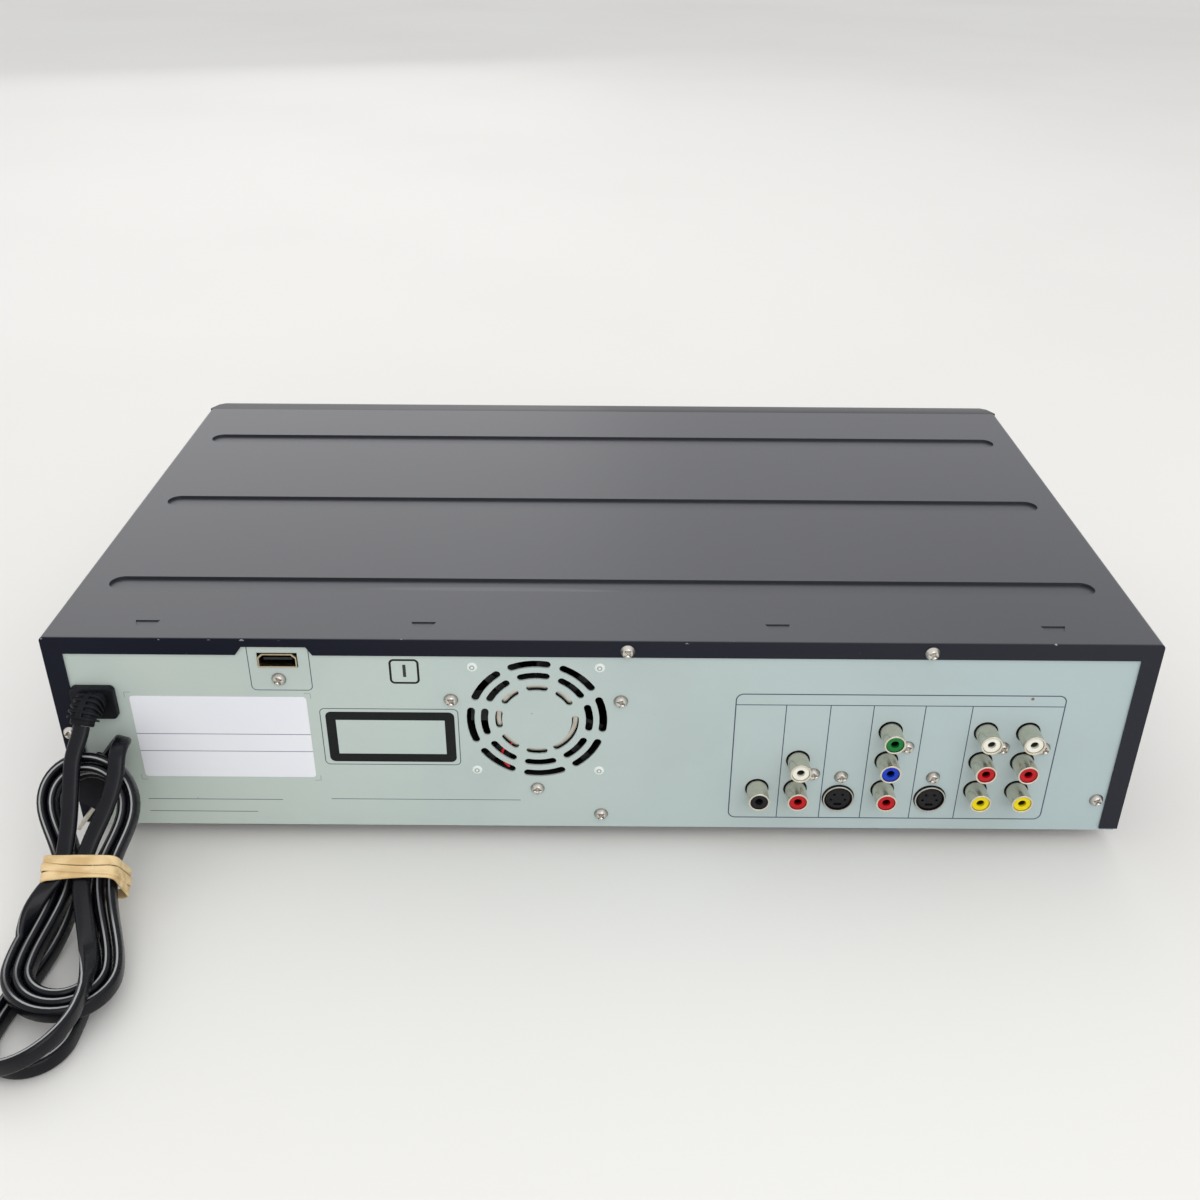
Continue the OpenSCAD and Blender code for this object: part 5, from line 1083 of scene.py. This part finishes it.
# Painted shade: the shell darkens the deeper it reaches behind the panel.
shell_inner_shade = shell_y.rising((PANEL_Y - 0.7) * MM, (PANEL_Y - 2.8) * MM)
shell_wear = shell.noise(600, 3)
shell_metal = shell.mixed(shell_wear, (178, 158, 124), (214, 200, 170))
shell_metal = shell.mixed(shell_inner_shade * 0.75, shell_metal, (30, 26, 22))
shell.coloured(shell_tongue, shell_metal, (16, 16, 17))
shell.feed("Metallic", 1 - shell_tongue)
shell.rough(0.24 + shell_wear * 0.16)
dressed("hdmi_socket", "digital_video_socket", "nickel", shell, 0.08)

# ---- Front bezel ----
# Black moulded plastic with a light gloss: chamfered corners, the cassette door, the tray's fascia, a smoked
# display window and the jack recess.
front_black = clouded("front_black", {"Specular IOR Level": 0.25, "Coat Roughness": 0.12}, 26, 4,
                      (17, 17, 20), (25, 25, 29), 0.24, 0.14)
front_black.feed("Coat Weight", 0.12 + front_black.clouds * 0.16)
front_black.grainy(1900, 0.00002, 0.4)
dressed("front_bezel", "front_moulding", "front_plastic", front_black, 0.4, 3)
dressed("cassette_door", "cassette_flap", "front_plastic", front_black, 0.35, 3)
dressed("tray_fascia", "tray_front", "front_plastic", front_black, 0.5, 3)
smoked = Finish("smoked_window", {"Specular IOR Level": 0.3, "Coat Weight": 0.3, "Coat Roughness": 0.04})
smoked_depth = smoked.noise(14, 3)
smoked.coloured(smoked_depth, (6, 7, 9), (15, 15, 20))
smoked.rough(0.1 + smoked.noise(40, 3) * 0.08)
dressed("display_window", "display_pane", "window", smoked, 0.2)
dressed("front_jacks", "front_jack_block", "nickel", warm_nickel, 0.2)

# ---- Buttons ----
# Each cap is a black moulding and rides on its own body.
for node in ("power_button", "stop_eject_button", "rewind_button", "play_button", "forward_button",
             "disc_open_button", "disc_play_button", "disc_stop_button"):
    dressed(node, node + "_cap", "front_plastic", moulded, 0.35, 3)

# ---- Disc drive ----
# Black moulded base and tray, a steel clamp bridge, and a dark loader with bright steel rods and screw.
white_gear = clouded("white_acetal", {"Specular IOR Level": 0.45}, 90, 3,
                     (206, 204, 194), (228, 226, 218), 0.36, 0.14)
for node in ("disc_tray", "drive_base"):
    dressed(node, node + "_moulding", "black_plastic", moulded, 0.25)
dressed("tray_gear", "tray_pinion", "white_plastic", white_gear, 0.1)
dressed("clamp_bridge", "clamp_plate", "steel", steel, 0.15)
dressed("disc_clamper", "clamp_puck", "white_plastic", white_gear, 0.25)
loader = Finish("loader_metal", {})
loader_x, _, loader_z = loader.axes()
loader_grain = loader.noise(500, 3)
RODS_X, RODS_Z, ROD_ASIDE, ROD_R = 113.5, 65, 22, 1.55
loader_rods = ((abs(loader_z - RODS_Z * MM) < ROD_R * MM)
               * (abs(abs(loader_x - RODS_X * MM) - ROD_ASIDE * MM) < ROD_R * MM))
loader_grey = loader.mixed(loader_grain, (40, 40, 43), (58, 58, 61))
loader.coloured(loader_rods, loader_grey, (196, 197, 200))
loader.feed("Metallic", loader_rods)
loader.rough(0.45 - loader_rods * 0.22 + loader_grain * 0.1)
dressed("traverse_frame", "loader_frame", "black_plastic", loader, 0.2)
dressed("disc_turntable", "spindle_table", "black_plastic", moulded, 0.2)
dressed("optical_pickup", "laser_sled", "black_plastic", moulded, 0.2)
worm = Finish("rolled_worm", {"Metallic": 1.0})
worm_thread = worm.add("ShaderNodeTexWave", {"wave_type": "BANDS", "bands_direction": "Y"},
                       {"Vector": worm.place, "Scale": 105, "Distortion": 0})
worm.coloured(worm_thread, (120, 120, 124), (206, 206, 210))
worm.rough(0.3 + worm_thread * 0.1)
worm.bumpy(worm_thread, 0.0003, 0.8)
dressed("lead_screw", "sled_screw", "steel", worm, 0.2)

# ---- Tape deck ----
# A pressed steel deck with turned aluminium drums and pale plastic reel tables. None of it shows from outside
# until the cassette door is pushed in.
turned = Finish("turned_aluminium", {"Metallic": 1.0})
turned_rings = turned.noise(60, 2, turned.stretched((1, 1, 40)))
turned.coloured(turned_rings, (176, 178, 180), (218, 219, 221))
turned.rough(0.18 + turned_rings * 0.16)
turned.bumpy(turned_rings, 0.00004, 0.4)
for node in ("deck_chassis", "holder_carriage", "cassette_holder"):
    dressed(node, node + "_pressing", "steel", steel, 0.15)
for node in ("lower_drum", "head_drum", "capstan", "tape_guides"):
    dressed(node, node + "_turning", "aluminium", turned, 0.25)
for node in ("supply_reel", "takeup_reel"):
    dressed(node, node + "_table", "white_plastic", white_gear, 0.2)
dressed("pinch_arm", "pinch_lever", "black_plastic", moulded, 0.2)

# ---- Boards ----
# Green and tan circuit boards with traces, black chips and sleeved capacitors, a taped transformer and a
# ribbed heat sink.


def board_finish(name, low, high, laid, trace, chip):
    """A board's own colour with its traces, and another colour for its parts, above laid in millimetres."""
    board = Finish(name, {"Specular IOR Level": 0.5})
    height = board.axes()[2]
    traces = board.cells(260, board.stretched((1, 0.35, 1))).rising(0.3, 0.34)
    tone = board.mixed(board.noise(40, 3), low, high)
    tone = board.mixed(traces * 0.5, tone, trace)
    parts = height.rising((laid + 0.1) * MM, (laid + 0.3) * MM)
    board.coloured(parts, tone, chip)
    board.rough(0.34 + board.noise(200, 2) * 0.2)
    board.bumpy(traces, 0.00004, 0.5)
    return board


green_board = board_finish("green_board", (22, 66, 40), (34, 88, 54), 15.6, (62, 120, 80), (24, 24, 26))
tan_board = board_finish("tan_board", (128, 96, 52), (150, 114, 66), 15.6, (170, 138, 88), (40, 44, 70))
upright_board = board_finish("upright_board", (22, 66, 40), (34, 88, 54), 60, (62, 120, 80), (24, 24, 26))
dressed("main_board", "main_circuit", "board_green", green_board, 0.1, 1)
dressed("power_board", "power_circuit", "board_tan", tan_board, 0.1, 1)
dressed("front_board", "front_circuit", "board_green", upright_board, 0.1, 1)
taped = Finish("yellow_tape", {"Specular IOR Level": 0.4})
taped_height = taped.axes()[2]
TAPE_LOW, TAPE_HIGH = 19.7, 33.5
taped_band, taped_above = [taped_height.rising((z - 0.2) * MM, (z + 0.2) * MM) for z in (TAPE_LOW, TAPE_HIGH)]
taped_iron = taped.mixed(taped.noise(200, 3), (44, 44, 46), (66, 66, 68))
taped.coloured(taped_band - taped_above, taped_iron, (206, 178, 66))
taped.rough(0.35 + taped.noise(120, 2) * 0.2)
dressed("transformer", "taped_transformer", "transformer", taped, 0.2)
dressed("heat_sink", "ribbed_sink", "aluminium", turned, 0.15)
